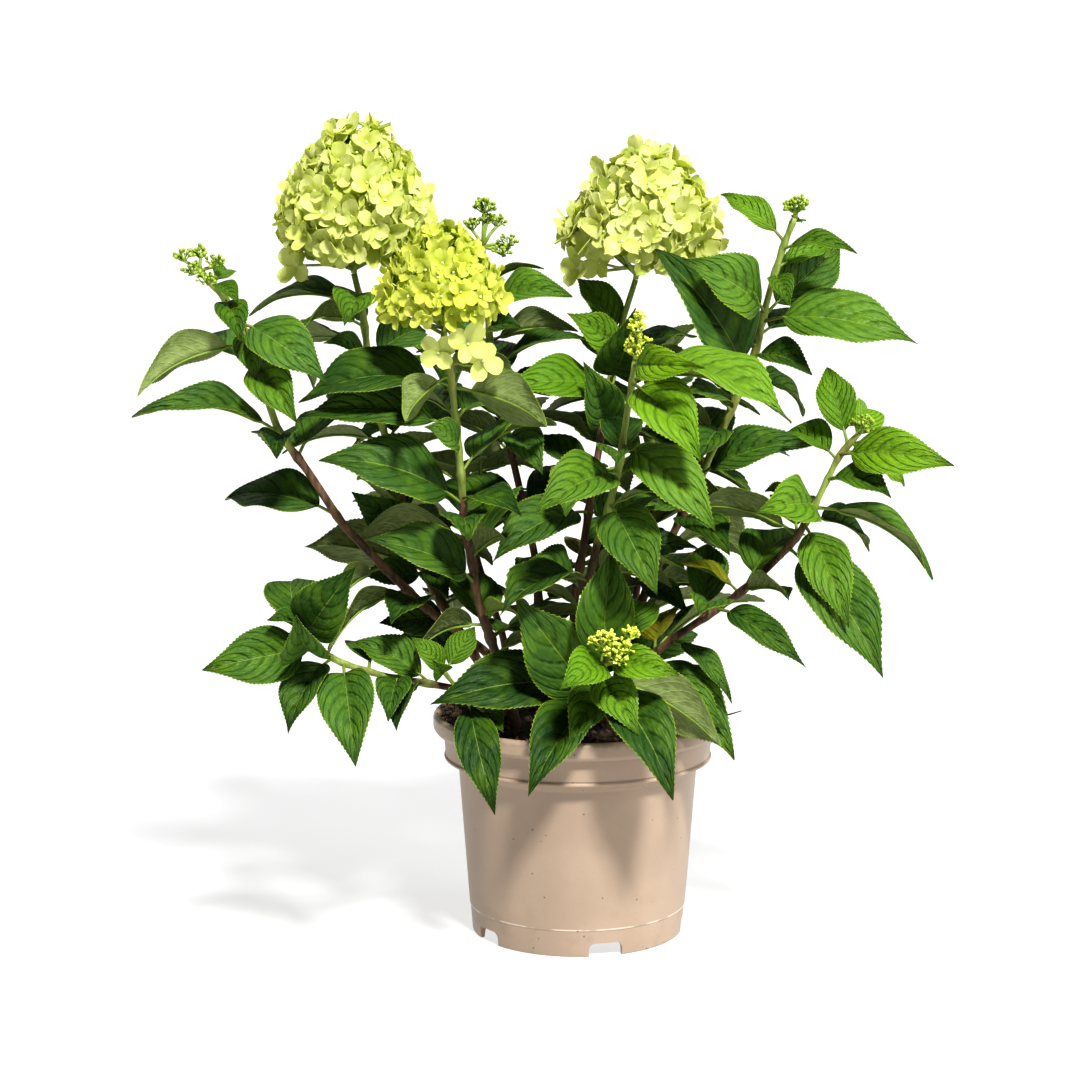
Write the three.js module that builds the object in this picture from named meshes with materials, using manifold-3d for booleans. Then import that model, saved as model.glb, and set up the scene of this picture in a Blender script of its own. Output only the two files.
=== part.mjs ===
// A potted panicle hydrangea: a nursery pot filled with soil, woody canes that each stand
// in a hole of their own and carry toothed, arching leaves, three heads of four-lobed
// florets, and six panicles still in bud.
// Millimetres, +Z up. The origin is on the pot's axis, on the surface that the pot stands on.
// The plant's most open side faces -Y.
import * as THREE from "three";
import { mergeVertices } from "three/addons/utils/BufferGeometryUtils.js";
import Module from "manifold-3d";

const wasm = await Module();
wasm.setup();

// Driving dimensions of the pot, a 19 cm container.
const POT_HEIGHT = 146;
const BASE_RADIUS = 69.5;
const LIP_RADIUS = 95;
const LIP_DEPTH = 11.5;
const BAND_FOOT = 117.5;
const BAND_RADIUS = 87;
const NECK_HEIGHT = 112;
const NECK_RADIUS = 78.5;
const WALL = 1.8;
const FLOOR_TOP = 8;
const FLOOR_BOTTOM = 6;
const PAD_RADIUS = 22;
const FOOT_STEP_HEIGHT = 17;
const FOOT_STEP = 0.5;
const NOTCHES = 5;
const NOTCH_WIDTH = 22;
const NOTCH_HEIGHT = 9;
const NOTCH_TURN = -75.4;
const POT_SIDES = 28;

// Driving dimensions of the soil and of the plant.
const GAP = 0.3;
const SOIL_TOP = 139;
const SOIL_RIPPLE = 1.2;
const CANE_SINK = 30;
const COLLAR_HEIGHT = SOIL_TOP + 5;
const CANE_SIDES = 5;
const HOLE_SIDES = 8;
const PETIOLE_SHARE = 0.16;
const PETIOLE_RADIUS = 1.1;
const BLADE_HALF_WIDTH = 0.31;
const BLADE_THICKNESS = 1.6;
const BLADE_FOLD = 0.22;
const BLADE_ARCH = 0.13;
const BLADE_WAVE = 0.028;
const FLORET_RADIUS = 18.5;
const BUD_RADIUS = 3.4;
const BRANCH_RADIUS = 1.2;

// How far leaves keep from each other and from the canes, heads and pot.
const LEAF_SPACE = 4.4;
const CANE_SPACE = 3.4;
const HEAD_SPACE = 5;
const POT_SPACE = 4;

// Where the draws start for the hidden leaves, and for the florets and buds.
const LEAF_SEED = 41;
const BLOOM_SEED = 33;

// Edges shorter than this are closed up after a union, so that no sliver stays.
const SLIVER = 0.02;

const CLAY_PLASTIC = { color: 0xb9a78e, roughness: 0.5 };
const SOIL = { color: 0x2c241d, roughness: 0.95 };
const GREEN_CANE = { color: 0x5c7f2f, roughness: 0.6 };
const LIME_BLOOM = { color: 0xbccb7c, roughness: 0.7 };
const GREEN_BLOOM = { color: 0xa9bb55, roughness: 0.7 };
const YOUNG_BUD = { color: 0xc3cf78, roughness: 0.7 };

const degrees = THREE.MathUtils.degToRad;
const UP = new THREE.Vector3(0, 0, 1);
const vec = (x, y, z) => new THREE.Vector3(x, y, z);
const along = (a, b, share) => a.clone().lerp(b, share);

// A small generator of even draws from 0 to 1, the same on every run.
let drawState = LEAF_SEED;
function draw() {
  drawState = (drawState * 1664525 + 1013904223) % 4294967296;
  return drawState / 4294967296;
}
const between = (low, high) => low + (high - low) * draw();

// Canes, in the order in which their leaves find their places. The path starts above the
// soil and rises. A leaf is
// [height on the cane, turn, lift, length, tilt]: turn is 0 towards +X and 90 towards +Y,
// lift is the rise above level, and tilt is how far the top face turns from up towards -Y.
const CANES = [
  {
    name: "right_low_cane",
    foot: [14, -12],
    thick: 5.6,
    path: [
      [30, -20, 172], [60, -30, 200], [79, -35, 214], [103, -40, 232], [120, -45, 249],
      [137, -50, 268], [147, -52, 287], [155, -54, 305], [163, -56, 323], [175, -58, 337],
    ],
    leaves: [
      [221, -45, -20, 80, 45], [263, -50, -40, 110, 55], [278, -70, -40, 85, 70],
      [282, 35, -25, 60, 30], [289, 0, -30, 90, 10], [307, -50, -5, 55, 40],
      [289, -125, 5, 70, 65], [323, -35, 0, 80, 50], [329, 105, 50, 60, 80],
      [331, 60, 40, 40, 70], [320, 125, 15, 50, 40],
      [331, -65, -15, 30, 50], [326, 20, -30, 50, 40], [232, -55, 5, 50, -50],
      [180, -45, -20, 80, 45], [174, -40, -30, 100, 45], [200, -50, -30, 65, 15],
      [215, 85, 45, 60, 80],
    ],
    spare: [[190, 3], [235, 2], [270, 2]],
  },
  {
    name: "front_low_shoot",
    foot: [4, -46],
    thick: 5,
    path: [[9, -50, 162], [12, -62, 176], [13, -85, 190], [16, -104, 201], [18, -116, 208]],
    leaves: [
      [165, -145, 50, 95, 85], [188, 60, 80, 80, 80], [198, -120, -5, 55, 65],
      [197, -40, -2, 60, 55], [200, 60, 30, 55, 70], [176, -110, -25, 60, 70],
      [185, -65, -25, 60, 65], [188, -20, -30, 92, -70], [180, -50, -40, 90, 35],
    ],
    spare: [],
  },
  {
    name: "left_cane",
    foot: [-42, -5],
    thick: 6.6,
    path: [
      [-58, -8, 186], [-96, -15, 215], [-125, -25, 246], [-151, -35, 276], [-172, -45, 312],
      [-189, -50, 336], [-210, -55, 403], [-223, -58, 425], [-233, -60, 436],
    ],
    leaves: [
      [392, -150, -20, 80, -50], [336, -150, 10, 100, 35], [420, -70, -30, 45, 50],
      [430, -50, -20, 30, 40], [430, 75, 30, 28, 60], [405, -35, -25, 75, 45],
      [402, -80, -20, 60, 60], [383, -60, -30, 70, 60], [332, -90, -5, 50, 60],
      [392, 45, -30, 65, 30], [281, 155, 5, 85, 30], [246, -120, -25, 70, -50],
      [230, -135, -25, 75, -40],
    ],
    spare: [[250, 2], [320, 2], [375, 2]],
  },
  {
    name: "yellow_head_cane",
    foot: [-40, -22],
    thick: 6.4,
    path: [
      [-53, -24, 188], [-65, -35, 227], [-68, -40, 252], [-73, -45, 275], [-74, -50, 302],
      [-76, -57, 330], [-80, -63, 371], [-84, -66, 398],
    ],
    leaves: [
      [339, 180, 5, 100, 40], [367, 160, -10, 105, 30], [374, -120, -24, 58, -50],
      [366, -35, -15, 75, -50], [380, 40, -20, 60, -45], [326, -120, 25, 45, 60],
      [290, -160, 20, 100, 45], [267, 160, -5, 80, -40], [237, -150, 25, 85, 45],
      [254, -60, 25, 50, -50], [209, -135, -10, 65, -45],
    ],
    spare: [[200, 3], [250, 2], [310, 2], [345, 2]],
  },
  {
    name: "lime_head_cane",
    foot: [-48, 12],
    thick: 6.6,
    path: [
      [-71, 6, 188], [-96, 12, 226], [-111, 18, 268], [-123, 20, 311], [-136, 19, 370],
      [-140, 17, 410], [-145, 14, 432],
    ],
    leaves: [
      [411, 165, -4, 80, 10], [397, -130, 5, 60, -40], [416, -100, -30, 40, 70],
      [397, 130, 10, 50, -30], [370, -125, 25, 50, 45], [275, -130, 35, 55, -50],
      [268, -120, 20, 75, 75], [236, -155, 15, 90, -45], [262, -50, -15, 55, 50],
      [208, -130, 0, 70, 55], [236, -70, -20, 50, 70],
    ],
    spare: [[215, 2], [250, 2], [320, 3], [380, 2]],
  },
  {
    name: "open_bud_cane",
    foot: [-22, 24],
    thick: 6,
    path: [
      [-24, 34, 190], [-28, 42, 242], [-46, 50, 320], [-58, 46, 384], [-60, 42, 420],
      [-62, 38, 445],
    ],
    leaves: [
      [324, -65, -20, 60, 50], [314, -110, -5, 55, -50], [407, -30, 10, 65, 45],
      [391, -60, 20, 45, 60], [384, 25, 5, 65, -45], [423, 15, 5, 40, 10],
      [438, -120, 20, 20, 60],
    ],
    spare: [[210, 2], [260, 3], [330, 3]],
  },
  {
    name: "right_head_cane",
    foot: [-5, 5],
    thick: 6.2,
    path: [
      [-4, 7, 180], [-2, 10, 220], [4, 16, 255], [10, 23, 294], [17, 30, 333], [23, 36, 366],
      [29, 40, 398], [38, 44, 426],
    ],
    leaves: [
      [386, 125, 45, 70, 45], [376, -135, 35, 55, 60], [353, -150, 5, 80, 45],
      [275, -140, -15, 85, 35], [227, -125, 25, 60, 50], [275, -70, -15, 45, -50],
    ],
    spare: [[200, 3], [240, 3], [300, 4], [365, 2]],
  },
  {
    name: "front_bud_cane",
    foot: [-2, -28],
    thick: 6,
    path: [
      [1, -33, 185], [4, -40, 228], [11, -55, 266], [18, -65, 289], [25, -75, 322],
      [29, -80, 353], [32, -83, 372], [34, -85, 386],
    ],
    leaves: [
      [371, -55, -30, 80, 60], [373, -30, -10, 110, 35], [382, -50, 5, 60, 60],
      [332, -45, -30, 90, 50], [313, -130, -10, 80, 55], [293, -65, -35, 80, 60],
      [169, -160, 0, 100, 35],
    ],
    spare: [[240, 4], [270, 2]],
  },
  {
    name: "right_high_cane",
    foot: [22, 14],
    thick: 6,
    path: [
      [30, 17, 182], [41, 20, 213], [74, 35, 281], [106, 30, 353], [117, 25, 383],
      [119, 22, 398], [125, 18, 424], [132, 15, 449], [139, 12, 468],
    ],
    leaves: [
      [362, -146, 50, 114, 35], [328, -110, -15, 55, 30], [296, -30, 20, 90, 45],
      [268, -65, -10, 70, 40], [271, 40, -30, 75, -50], [223, -55, -10, 45, 50],
      [216, 40, 5, 55, -50], [406, -150, 25, 70, 45], [452, 140, 30, 60, 50],
      [464, -70, 20, 25, 60], [447, -35, 0, 55, 40], [435, 30, 15, 45, 50],
      [403, 35, 35, 80, 70], [431, -75, -30, 35, 60], [400, -20, -5, 105, 45],
      [391, 40, 5, 60, 20], [383, -125, 20, 35, 40], [378, -45, -10, 50, 50],
      [365, 35, -30, 60, 30],
    ],
    spare: [[200, 3], [245, 4], [300, 3], [345, 2]],
  },
  {
    name: "left_low_shoot",
    foot: [-52, -32],
    thick: 5.2,
    path: [
      [-70, -40, 168], [-95, -50, 175], [-123, -60, 182], [-151, -70, 193], [-168, -75, 205],
      [-177, -78, 215],
    ],
    leaves: [
      [209, -50, 45, 75, 70], [212, 100, 20, 70, 60], [205, -95, 40, 60, 80],
      [213, -110, 25, 55, 60], [203, -140, -5, 90, 55], [201, -120, 10, 55, 50],
      [192, -80, -40, 80, 80], [196, -120, -30, 60, 20], [180, -95, -20, 50, 40],
      [175, -145, 30, 70, 60], [176, -110, -25, 50, -50],
    ],
    spare: [[186, 2], [206, 1]],
  },
  {
    name: "left_young_shoot",
    foot: [-55, -43],
    thick: 4,
    path: [[-58, -46, 152], [-67, -54, 165], [-78, -65, 176], [-86, -74, 189]],
    leaves: [
      [170, -70, -45, 80, 70], [186, 150, 35, 30, 50], [187, 30, 40, 28, 60],
      [188, -110, 50, 26, 60],
    ],
    spare: [],
  },
  {
    name: "back_left_cane",
    foot: [-42, 38],
    thick: 5.6,
    path: [[-50, 50, 188], [-66, 70, 230], [-78, 88, 275], [-84, 98, 315], [-86, 103, 338]],
    leaves: [[336, 40, 50, 60, -30], [337, 160, 50, 62, -20]],
    spare: [[205, 4], [245, 4], [285, 4], [325, 4]],
  },
  {
    name: "back_right_cane",
    foot: [30, 38],
    thick: 5.6,
    path: [[36, 50, 188], [44, 70, 236], [50, 88, 290], [53, 98, 330], [54, 102, 350]],
    leaves: [[348, 30, 50, 60, -30], [349, 150, 50, 62, -20]],
    spare: [[205, 4], [250, 4], [295, 4], [335, 4]],
  },
];

// Flower heads. Each stands on its cane's tip and tapers from low shoulders to its top.
// A stray is a floret on a branch of its own, placed from the cane's tip.
const HEADS = [
  { name: "lime_flower_head", cane: "lime_head_cane", top: [-141, 12, 531], radius: 51,
    florets: 30, strays: [[-36, -12, 6]], colour: LIME_BLOOM },
  { name: "yellow_flower_head", cane: "yellow_head_cane", top: [-87, -67, 468], radius: 43,
    florets: 20, strays: [[-3, -20, -8], [15, -24, -2], [24, -18, -13]], colour: GREEN_BLOOM },
  { name: "right_flower_head", cane: "right_head_cane", top: [49, 46, 512], radius: 53,
    florets: 29, strays: [[-38, -8, 8], [-24, -14, 12]], colour: LIME_BLOOM },
];
const HEAD_TURN = 137.5;
const CORE_SHARE = 0.84;
const STRAY_SHARE = 0.75;

// Panicles in bud. A cluster is [x, y, z from the cane's tip, radius].
const PANICLES = [
  { name: "left_bud_panicle", cane: "left_cane",
    clusters: [[-3, 0, 13, 7], [-13, -5, 5, 6], [11, 0, 6, 6]] },
  { name: "open_bud_panicle", cane: "open_bud_cane",
    clusters: [[1, 0, 28, 8], [-9, -2, 14, 6], [11, 2, 17, 6], [20, 0, 1, 5]] },
  { name: "front_bud_panicle", cane: "front_bud_cane",
    clusters: [[2, -3, 14, 8], [-8, -4, 7, 6], [11, -2, 8, 6]] },
  { name: "right_bud_panicle", cane: "right_high_cane",
    clusters: [[3, 0, 9, 7], [-4, -3, 5, 5]] },
  { name: "right_low_bud_panicle", cane: "right_low_cane",
    clusters: [[6, -2, 5, 6]] },
  { name: "front_low_bud_panicle", cane: "front_low_shoot",
    clusters: [[-5, -4, 7, 7], [6, -3, 4, 7]] },
];
const CLUSTER_BUDS = 5;

// A closed solid through rings of points. A ring of one point ends it in a point. In a blade
// the second half of each ring is the top face, whose four-sided facets are split along the
// diagonals of the under face, so that a waved blade's two faces don't cross.
function loft(rings, blade = false) {
  const points = [];
  const faces = [];
  const starts = rings.map((ring) => {
    points.push(...ring);
    return points.length - ring.length;
  });
  for (let k = 1; k < rings.length; k += 1) {
    const low = rings[k - 1].length;
    const high = rings[k].length;
    const sides = Math.max(low, high);
    for (let i = 0; i < sides; i += 1) {
      const j = (i + 1) % sides;
      const a = starts[k - 1] + (low > 1 ? i : 0);
      const b = starts[k - 1] + (low > 1 ? j : 0);
      const c = starts[k] + (high > 1 ? j : 0);
      const d = starts[k] + (high > 1 ? i : 0);
      if (blade && low > 1 && high > 1 && i >= sides / 2) {
        faces.push(a, b, d, b, c, d);
        continue;
      }
      if (low > 1) faces.push(a, b, c);
      if (high > 1) faces.push(a, c, d);
    }
  }
  const last = starts[rings.length - 1];
  for (let i = 1; i + 1 < rings[0].length; i += 1) faces.push(0, i + 1, i);
  for (let i = 1; i + 1 < rings[rings.length - 1].length; i += 1) {
    faces.push(last, last + i, last + i + 1);
  }
  return solidFrom(points, faces);
}

// A manifold solid from points and faces, turned the right way out.
function solidFrom(points, faces) {
  const build = (list) => new wasm.Manifold(new wasm.Mesh({
    numProp: 3,
    vertProperties: new Float32Array(points.flatMap((p) => [p.x, p.y, p.z])),
    triVerts: new Uint32Array(list),
  }));
  const made = build(faces);
  if (made.volume() > 0) return made;
  const turned = faces.slice();
  for (let i = 0; i < turned.length; i += 3) {
    [turned[i + 1], turned[i + 2]] = [turned[i + 2], turned[i + 1]];
  }
  return build(turned);
}

// A manifold solid from a closed three.js geometry.
function solidOf(geometry) {
  const bare = geometry.index ? geometry.toNonIndexed() : geometry.clone();
  bare.deleteAttribute("normal");
  bare.deleteAttribute("uv");
  const merged = mergeVertices(bare, 1e-3);
  const places = merged.attributes.position;
  const points = Array.from({ length: places.count }, (_, i) =>
    new THREE.Vector3().fromBufferAttribute(places, i));
  return solidFrom(points, Array.from(merged.index.array));
}

// The union of solids, less loose scraps and with sealed hollows filled.
function fuse(solids) {
  const whole = wasm.Manifold.union(solids).simplify(SLIVER);
  const bodies = whole.decompose().filter((body) => body.volume() > 0);
  return bodies.reduce((best, body) => (body.volume() > best.volume() ? body : best));
}

function meshOf(name, solid, look) {
  const data = solid.getMesh();
  const places = new Float32Array(data.numVert * 3);
  for (let i = 0; i < data.numVert; i += 1) {
    places.set(data.vertProperties.subarray(i * data.numProp, i * data.numProp + 3), i * 3);
  }
  const geometry = new THREE.BufferGeometry();
  geometry.setAttribute("position", new THREE.BufferAttribute(places, 3));
  geometry.setIndex(new THREE.BufferAttribute(data.triVerts, 1));
  const mesh = new THREE.Mesh(geometry, new THREE.MeshStandardMaterial({ ...look, metalness: 0 }));
  mesh.name = name;
  return mesh;
}

// Two directions square to a line.
function crossAxes(line) {
  const guide = Math.abs(line.z) < 0.9 ? UP : vec(1, 0, 0);
  const side = new THREE.Vector3().crossVectors(guide, line).normalize();
  return [side, new THREE.Vector3().crossVectors(line, side)];
}

function ringRound(centre, line, radius, sides) {
  const [a, b] = crossAxes(line);
  return Array.from({ length: sides }, (_, i) => {
    const turn = (2 * Math.PI * i) / sides;
    return centre.clone()
      .addScaledVector(a, radius * Math.cos(turn))
      .addScaledVector(b, radius * Math.sin(turn));
  });
}

// The pot: tapered body, step out to a rim band, flat-topped lip and raised floor on a pad.
function makePot() {
  const bodyRadius = (z) => BASE_RADIUS + ((NECK_RADIUS - BASE_RADIUS) * z) / NECK_HEIGHT;
  const lipFoot = POT_HEIGHT - LIP_DEPTH;
  const bandTop = BAND_RADIUS + 1.5;
  const profile = [
    [0, FLOOR_TOP], [0, 0], [PAD_RADIUS, 0], [PAD_RADIUS + 2, FLOOR_BOTTOM],
    [BASE_RADIUS - 4, FLOOR_BOTTOM], [BASE_RADIUS - 3, 0], [BASE_RADIUS, 0],
    [bodyRadius(FOOT_STEP_HEIGHT), FOOT_STEP_HEIGHT],
    [bodyRadius(FOOT_STEP_HEIGHT) + FOOT_STEP, FOOT_STEP_HEIGHT + 1],
    [NECK_RADIUS, NECK_HEIGHT], [BAND_RADIUS - 1, BAND_FOOT - 1], [BAND_RADIUS, BAND_FOOT],
    [bandTop, lipFoot], [LIP_RADIUS - 1.5, lipFoot], [LIP_RADIUS, lipFoot + 2.5],
    [LIP_RADIUS, POT_HEIGHT - 2], [LIP_RADIUS - 1.6, POT_HEIGHT], [bandTop + 2, POT_HEIGHT],
    [bandTop - WALL, lipFoot], [BAND_RADIUS - WALL, BAND_FOOT + 1],
    [NECK_RADIUS - WALL, NECK_HEIGHT + 1], [BASE_RADIUS - WALL, FLOOR_TOP], [0, FLOOR_TOP],
  ].map(([r, z]) => new THREE.Vector2(r, z));
  const shell = new THREE.LatheGeometry(profile, POT_SIDES).rotateX(Math.PI / 2);
  let pot = solidOf(shell);
  const reach = 24;
  for (let i = 0; i < NOTCHES; i += 1) {
    const cutter = new THREE.BoxGeometry(reach, NOTCH_WIDTH, 2 * NOTCH_HEIGHT)
      .translate(BASE_RADIUS - 6, 0, 0)
      .rotateZ(degrees(NOTCH_TURN + (i * 360) / NOTCHES));
    pot = pot.subtract(solidOf(cutter));
  }
  return pot;
}

// The soil: it fills the pot, its top ripples, and it has a plain hole for each cane.
function makeSoil() {
  const rings = [0, 30, 58, 85];
  const ripple = (r, turn) =>
    SOIL_RIPPLE * Math.sin(r / 7 + 3 * turn) * Math.cos(2 * turn - r / 16);
  const sides = 21;
  const circle = (r, height) =>
    Array.from({ length: sides }, (_, i) => {
      const turn = (2 * Math.PI * i) / sides;
      return vec(r * Math.cos(turn), r * Math.sin(turn), height(turn));
    });
  const fit = Math.cos(Math.PI / POT_SIDES);
  const wall = [
    [BASE_RADIUS - WALL, NOTCH_HEIGHT + GAP], [NECK_RADIUS - WALL, NECK_HEIGHT + 1 + 2 * GAP],
    [BAND_RADIUS - WALL, BAND_FOOT + 1 + GAP],
  ].map(([r, z]) => circle((r - 2 * GAP) * fit, () => z));
  const top = rings.slice(1).reverse().map((r) =>
    circle(r, (turn) => SOIL_TOP + ripple(r, turn)));
  let soil = loft([...wall, ...top, [vec(0, 0, SOIL_TOP)]]);
  for (const cane of CANES) {
    const radius = (cane.thick / 2 + GAP) / Math.cos(Math.PI / HOLE_SIDES);
    const depth = CANE_SINK + 20;
    const hole = new THREE.CylinderGeometry(radius, radius, depth, HOLE_SIDES)
      .rotateX(Math.PI / 2)
      .translate(cane.foot[0], cane.foot[1], SOIL_TOP - CANE_SINK - GAP + depth / 2);
    soil = soil.subtract(solidOf(hole));
  }
  return soil;
}

// The cane's centre line: straight up out of its hole, then along its path.
function lineOf(cane) {
  const [x, y] = cane.foot;
  return [
    vec(x, y, SOIL_TOP - CANE_SINK), vec(x, y, COLLAR_HEIGHT),
    ...cane.path.map(([px, py, pz]) => vec(px, py, pz)),
  ];
}

// The point of a rising line at a height.
function atHeight(line, z) {
  const k = Math.max(1, line.findIndex((p) => p.z >= z));
  const low = line[k - 1];
  const high = line[k];
  return along(low, high, (z - low.z) / (high.z - low.z));
}

function directionAt(line, i) {
  const before = line[Math.max(0, i - 1)];
  const after = line[Math.min(line.length - 1, i + 1)];
  return after.clone().sub(before).normalize();
}

function stemSolid(cane) {
  const line = lineOf(cane);
  return loft(line.map((p, i) => {
    const radius = (cane.thick / 2) * (1 - (0.4 * i) / (line.length - 1));
    const direction = i < 2 ? UP : directionAt(line, i);
    return ringRound(p, direction, radius, CANE_SIDES);
  }));
}

const tipRadius = (cane) => (cane.thick / 2) * 0.6;

// A leaf's midrib is a curve that arches towards its top face. Its frame at a share of the
// midrib gives the point, the side direction and the top face's direction.
function leafCurve(base, tip, tilt) {
  const chord = tip.clone().sub(base);
  const face = vec(0, -Math.sin(degrees(tilt)), Math.cos(degrees(tilt)));
  const flat = new THREE.Vector3().crossVectors(chord, face);
  if (flat.length() < 0.3 * chord.length()) flat.crossVectors(chord, vec(0, 0.6, 0.8));
  const side = flat.normalize();
  const out = new THREE.Vector3().crossVectors(side, chord).normalize();
  const middle = along(base, tip, 0.45).addScaledVector(out, 2 * BLADE_ARCH * chord.length());
  return (share) => {
    const rest = 1 - share;
    const point = base.clone().multiplyScalar(rest * rest)
      .addScaledVector(middle, 2 * share * rest)
      .addScaledVector(tip, share * share);
    const run = middle.clone().sub(base).multiplyScalar(rest)
      .addScaledVector(tip.clone().sub(middle), share)
      .normalize();
    return { point, side, normal: new THREE.Vector3().crossVectors(side, run).normalize() };
  };
}

// Half width of a blade at a share of its length: broad below the middle, drawn to a point.
const bladeShape = (share) => Math.sin(Math.PI * share ** 0.8) ** 0.85 * (1 - 0.12 * share);

const BLADE_STATIONS = [0.16, 0.4, 0.66, 0.86];
const SMALL_STATIONS = [0.2, 0.5, 0.8];
const SMALL_LEAF = 62;

function bladePoint(curve, length, share, across, wave) {
  const blade = length * (1 - PETIOLE_SHARE);
  const half = BLADE_HALF_WIDTH * blade * bladeShape(share);
  const { point, side, normal } = curve(PETIOLE_SHARE + (1 - PETIOLE_SHARE) * share);
  const rise = Math.abs(across) * (BLADE_FOLD * half + wave * blade);
  return point.addScaledVector(side, across * half).addScaledVector(normal, rise);
}

function leafSolid(leaf) {
  const curve = leafCurve(leaf.base, leaf.tip, leaf.tilt);
  const length = leaf.base.distanceTo(leaf.tip);
  const slim = Math.min(1, length / 50);
  const petioleEnd = () => {
    const { point, side, normal } = curve(PETIOLE_SHARE);
    const r = PETIOLE_RADIUS * slim;
    const ring = leaf.spare ? [[r, r / 2], [0, -r], [-r, r / 2]] : [[r, 0], [0, -r], [-r, 0], [0, r]];
    return ring.map(([a, b]) =>
      point.clone().addScaledVector(side, a).addScaledVector(normal, b));
  };
  const stations = leaf.spare || length < SMALL_LEAF ? SMALL_STATIONS : BLADE_STATIONS;
  const blade = stations.map((share, k) => {
    const wave = k % 2 ? BLADE_WAVE : -BLADE_WAVE;
    const { normal } = curve(PETIOLE_SHARE + (1 - PETIOLE_SHARE) * share);
    const middle = bladePoint(curve, length, share, 0, 0);
    const half = (BLADE_THICKNESS / 2) * Math.max(slim, 0.7);
    const edges = [1, -1].map((across) => bladePoint(curve, length, share, across, wave));
    const keel = middle.clone().addScaledVector(normal, -half);
    if (leaf.spare) return [edges[0], keel, edges[1]];
    return [edges[0], keel, edges[1], middle.addScaledVector(normal, half)];
  });
  return loft([[leaf.base.clone()], petioleEnd(), ...blade, [leaf.tip.clone()]], !leaf.spare);
}

// Points all over a blade, which stand for it when the space round it is measured.
const ROWS = 14;
const COLUMNS = 7;
const PETIOLE_MARKS = [0.07, 0.12];

function bladeSamples(leaf) {
  const curve = leafCurve(leaf.base, leaf.tip, leaf.tilt);
  const length = leaf.base.distanceTo(leaf.tip);
  const samples = PETIOLE_MARKS.map((share) => curve(share).point);
  for (let row = 0; row < ROWS; row += 1) {
    for (let column = 0; column < COLUMNS; column += 1) {
      const across = (2 * column) / (COLUMNS - 1) - 1;
      samples.push(bladePoint(curve, length, (row + 0.3) / ROWS, across, 0));
    }
  }
  return samples;
}

// The radius of a head round its axis, at a share of its height.
const headShape = (share) =>
  share <= 0 || share >= 1 ? 0 : Math.sin(Math.PI * share ** 0.66) ** 0.8;

function headAxis(head) {
  const line = lineOf(CANES.find((cane) => cane.name === head.cane));
  const foot = line[line.length - 1];
  const top = vec(...head.top);
  const axis = top.clone().sub(foot);
  return { foot, top, height: axis.length(), direction: axis.normalize() };
}

function insideHead(head, point, space) {
  const { foot, height, direction } = head.axis;
  const offset = point.clone().sub(foot);
  const rise = offset.dot(direction);
  const share = Math.min(0.97, Math.max(0.03, rise / height));
  if (rise < -space || rise > height + space) return false;
  const away = offset.addScaledVector(direction, -rise).length();
  return away < head.radius * headShape(share) + space;
}

const tooNear = (a, b, space) =>
  Math.abs(a.x - b.x) < space && a.distanceToSquared(b) < space * space;

// Whether a leaf is clear of the pot, heads, bud panicles, canes and leaves already placed.
function isClear(leaf, placed) {
  const samples = bladeSamples(leaf);
  const middle = samples[Math.floor(samples.length / 2)];
  const reach = leaf.base.distanceTo(leaf.tip);
  const nearPot = (p) =>
    p.z < POT_HEIGHT + POT_SPACE && Math.hypot(p.x, p.y) < LIP_RADIUS + POT_SPACE;
  if (samples.some(nearPot)) return false;
  if (HEADS.some((head) => samples.some((p) => insideHead(head, p, HEAD_SPACE)))) return false;
  for (const cane of CANES) {
    const others = cane.name === leaf.cane ? cane.budMarks : cane.marks;
    for (const mark of others) {
      if (mark.point.distanceTo(middle) > reach + mark.space) continue;
      if (samples.some((p) => tooNear(p, mark.point, mark.space))) return false;
    }
  }
  for (const other of placed) {
    if (other.middle.distanceTo(middle) > reach / 2 + other.reach / 2 + LEAF_SPACE + 20) continue;
    const skip = other.cane === leaf.cane ? PETIOLE_MARKS.length + 2 * COLUMNS : 0;
    const mine = samples.slice(skip);
    const theirs = other.samples.slice(skip);
    if (mine.some((p) => theirs.some((q) => tooNear(p, q, LEAF_SPACE)))) return false;
  }
  leaf.samples = samples;
  leaf.middle = middle;
  leaf.reach = reach;
  return true;
}

// Marks along a cane, and round its buds, that leaves of other canes keep clear of.
function markCane(cane) {
  const line = lineOf(cane);
  cane.marks = [];
  for (let k = 1; k < line.length; k += 1) {
    const steps = Math.ceil(line[k].distanceTo(line[k - 1]) / 5);
    for (let i = 0; i < steps; i += 1) {
      const point = along(line[k - 1], line[k], i / steps);
      cane.marks.push({ point, space: cane.thick / 2 + CANE_SPACE });
    }
  }
  const panicle = PANICLES.find((each) => each.cane === cane.name);
  const tip = line[line.length - 1];
  cane.budMarks = (panicle ? panicle.clusters : []).map(([x, y, z, radius]) => ({
    point: tip.clone().add(vec(x, y, z)),
    space: radius + BUD_RADIUS + 1,
  }));
  const head = HEADS.find((each) => each.cane === cane.name);
  cane.budMarks.push(...(head ? head.strays : []).map((stray) => ({
    point: tip.clone().add(vec(...stray)),
    space: STRAY_SHARE * FLORET_RADIUS,
  })));
  cane.marks.push(...cane.budMarks);
}

const DEPTH_MOVES = [0, -9, 9, -18, 18, -28, 28, -40, 40];
const RISE_MOVES = [0, 8, -8];
const TILT_MOVES = [0, 18, -18];

// Bends a leaf forward or back, and tilts it, until it is clear. A leaf that finds no
// clear place is left off.
function settle(leaf, placed) {
  for (const depth of DEPTH_MOVES) {
    for (const rise of RISE_MOVES) {
      for (const tilt of TILT_MOVES) {
        const tip = leaf.tip.clone().add(vec(0, depth, rise));
        const bent = { ...leaf, tip, tilt: leaf.tilt + tilt };
        if (isClear(bent, placed)) {
          placed.push(bent);
          return;
        }
      }
    }
  }
}

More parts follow.
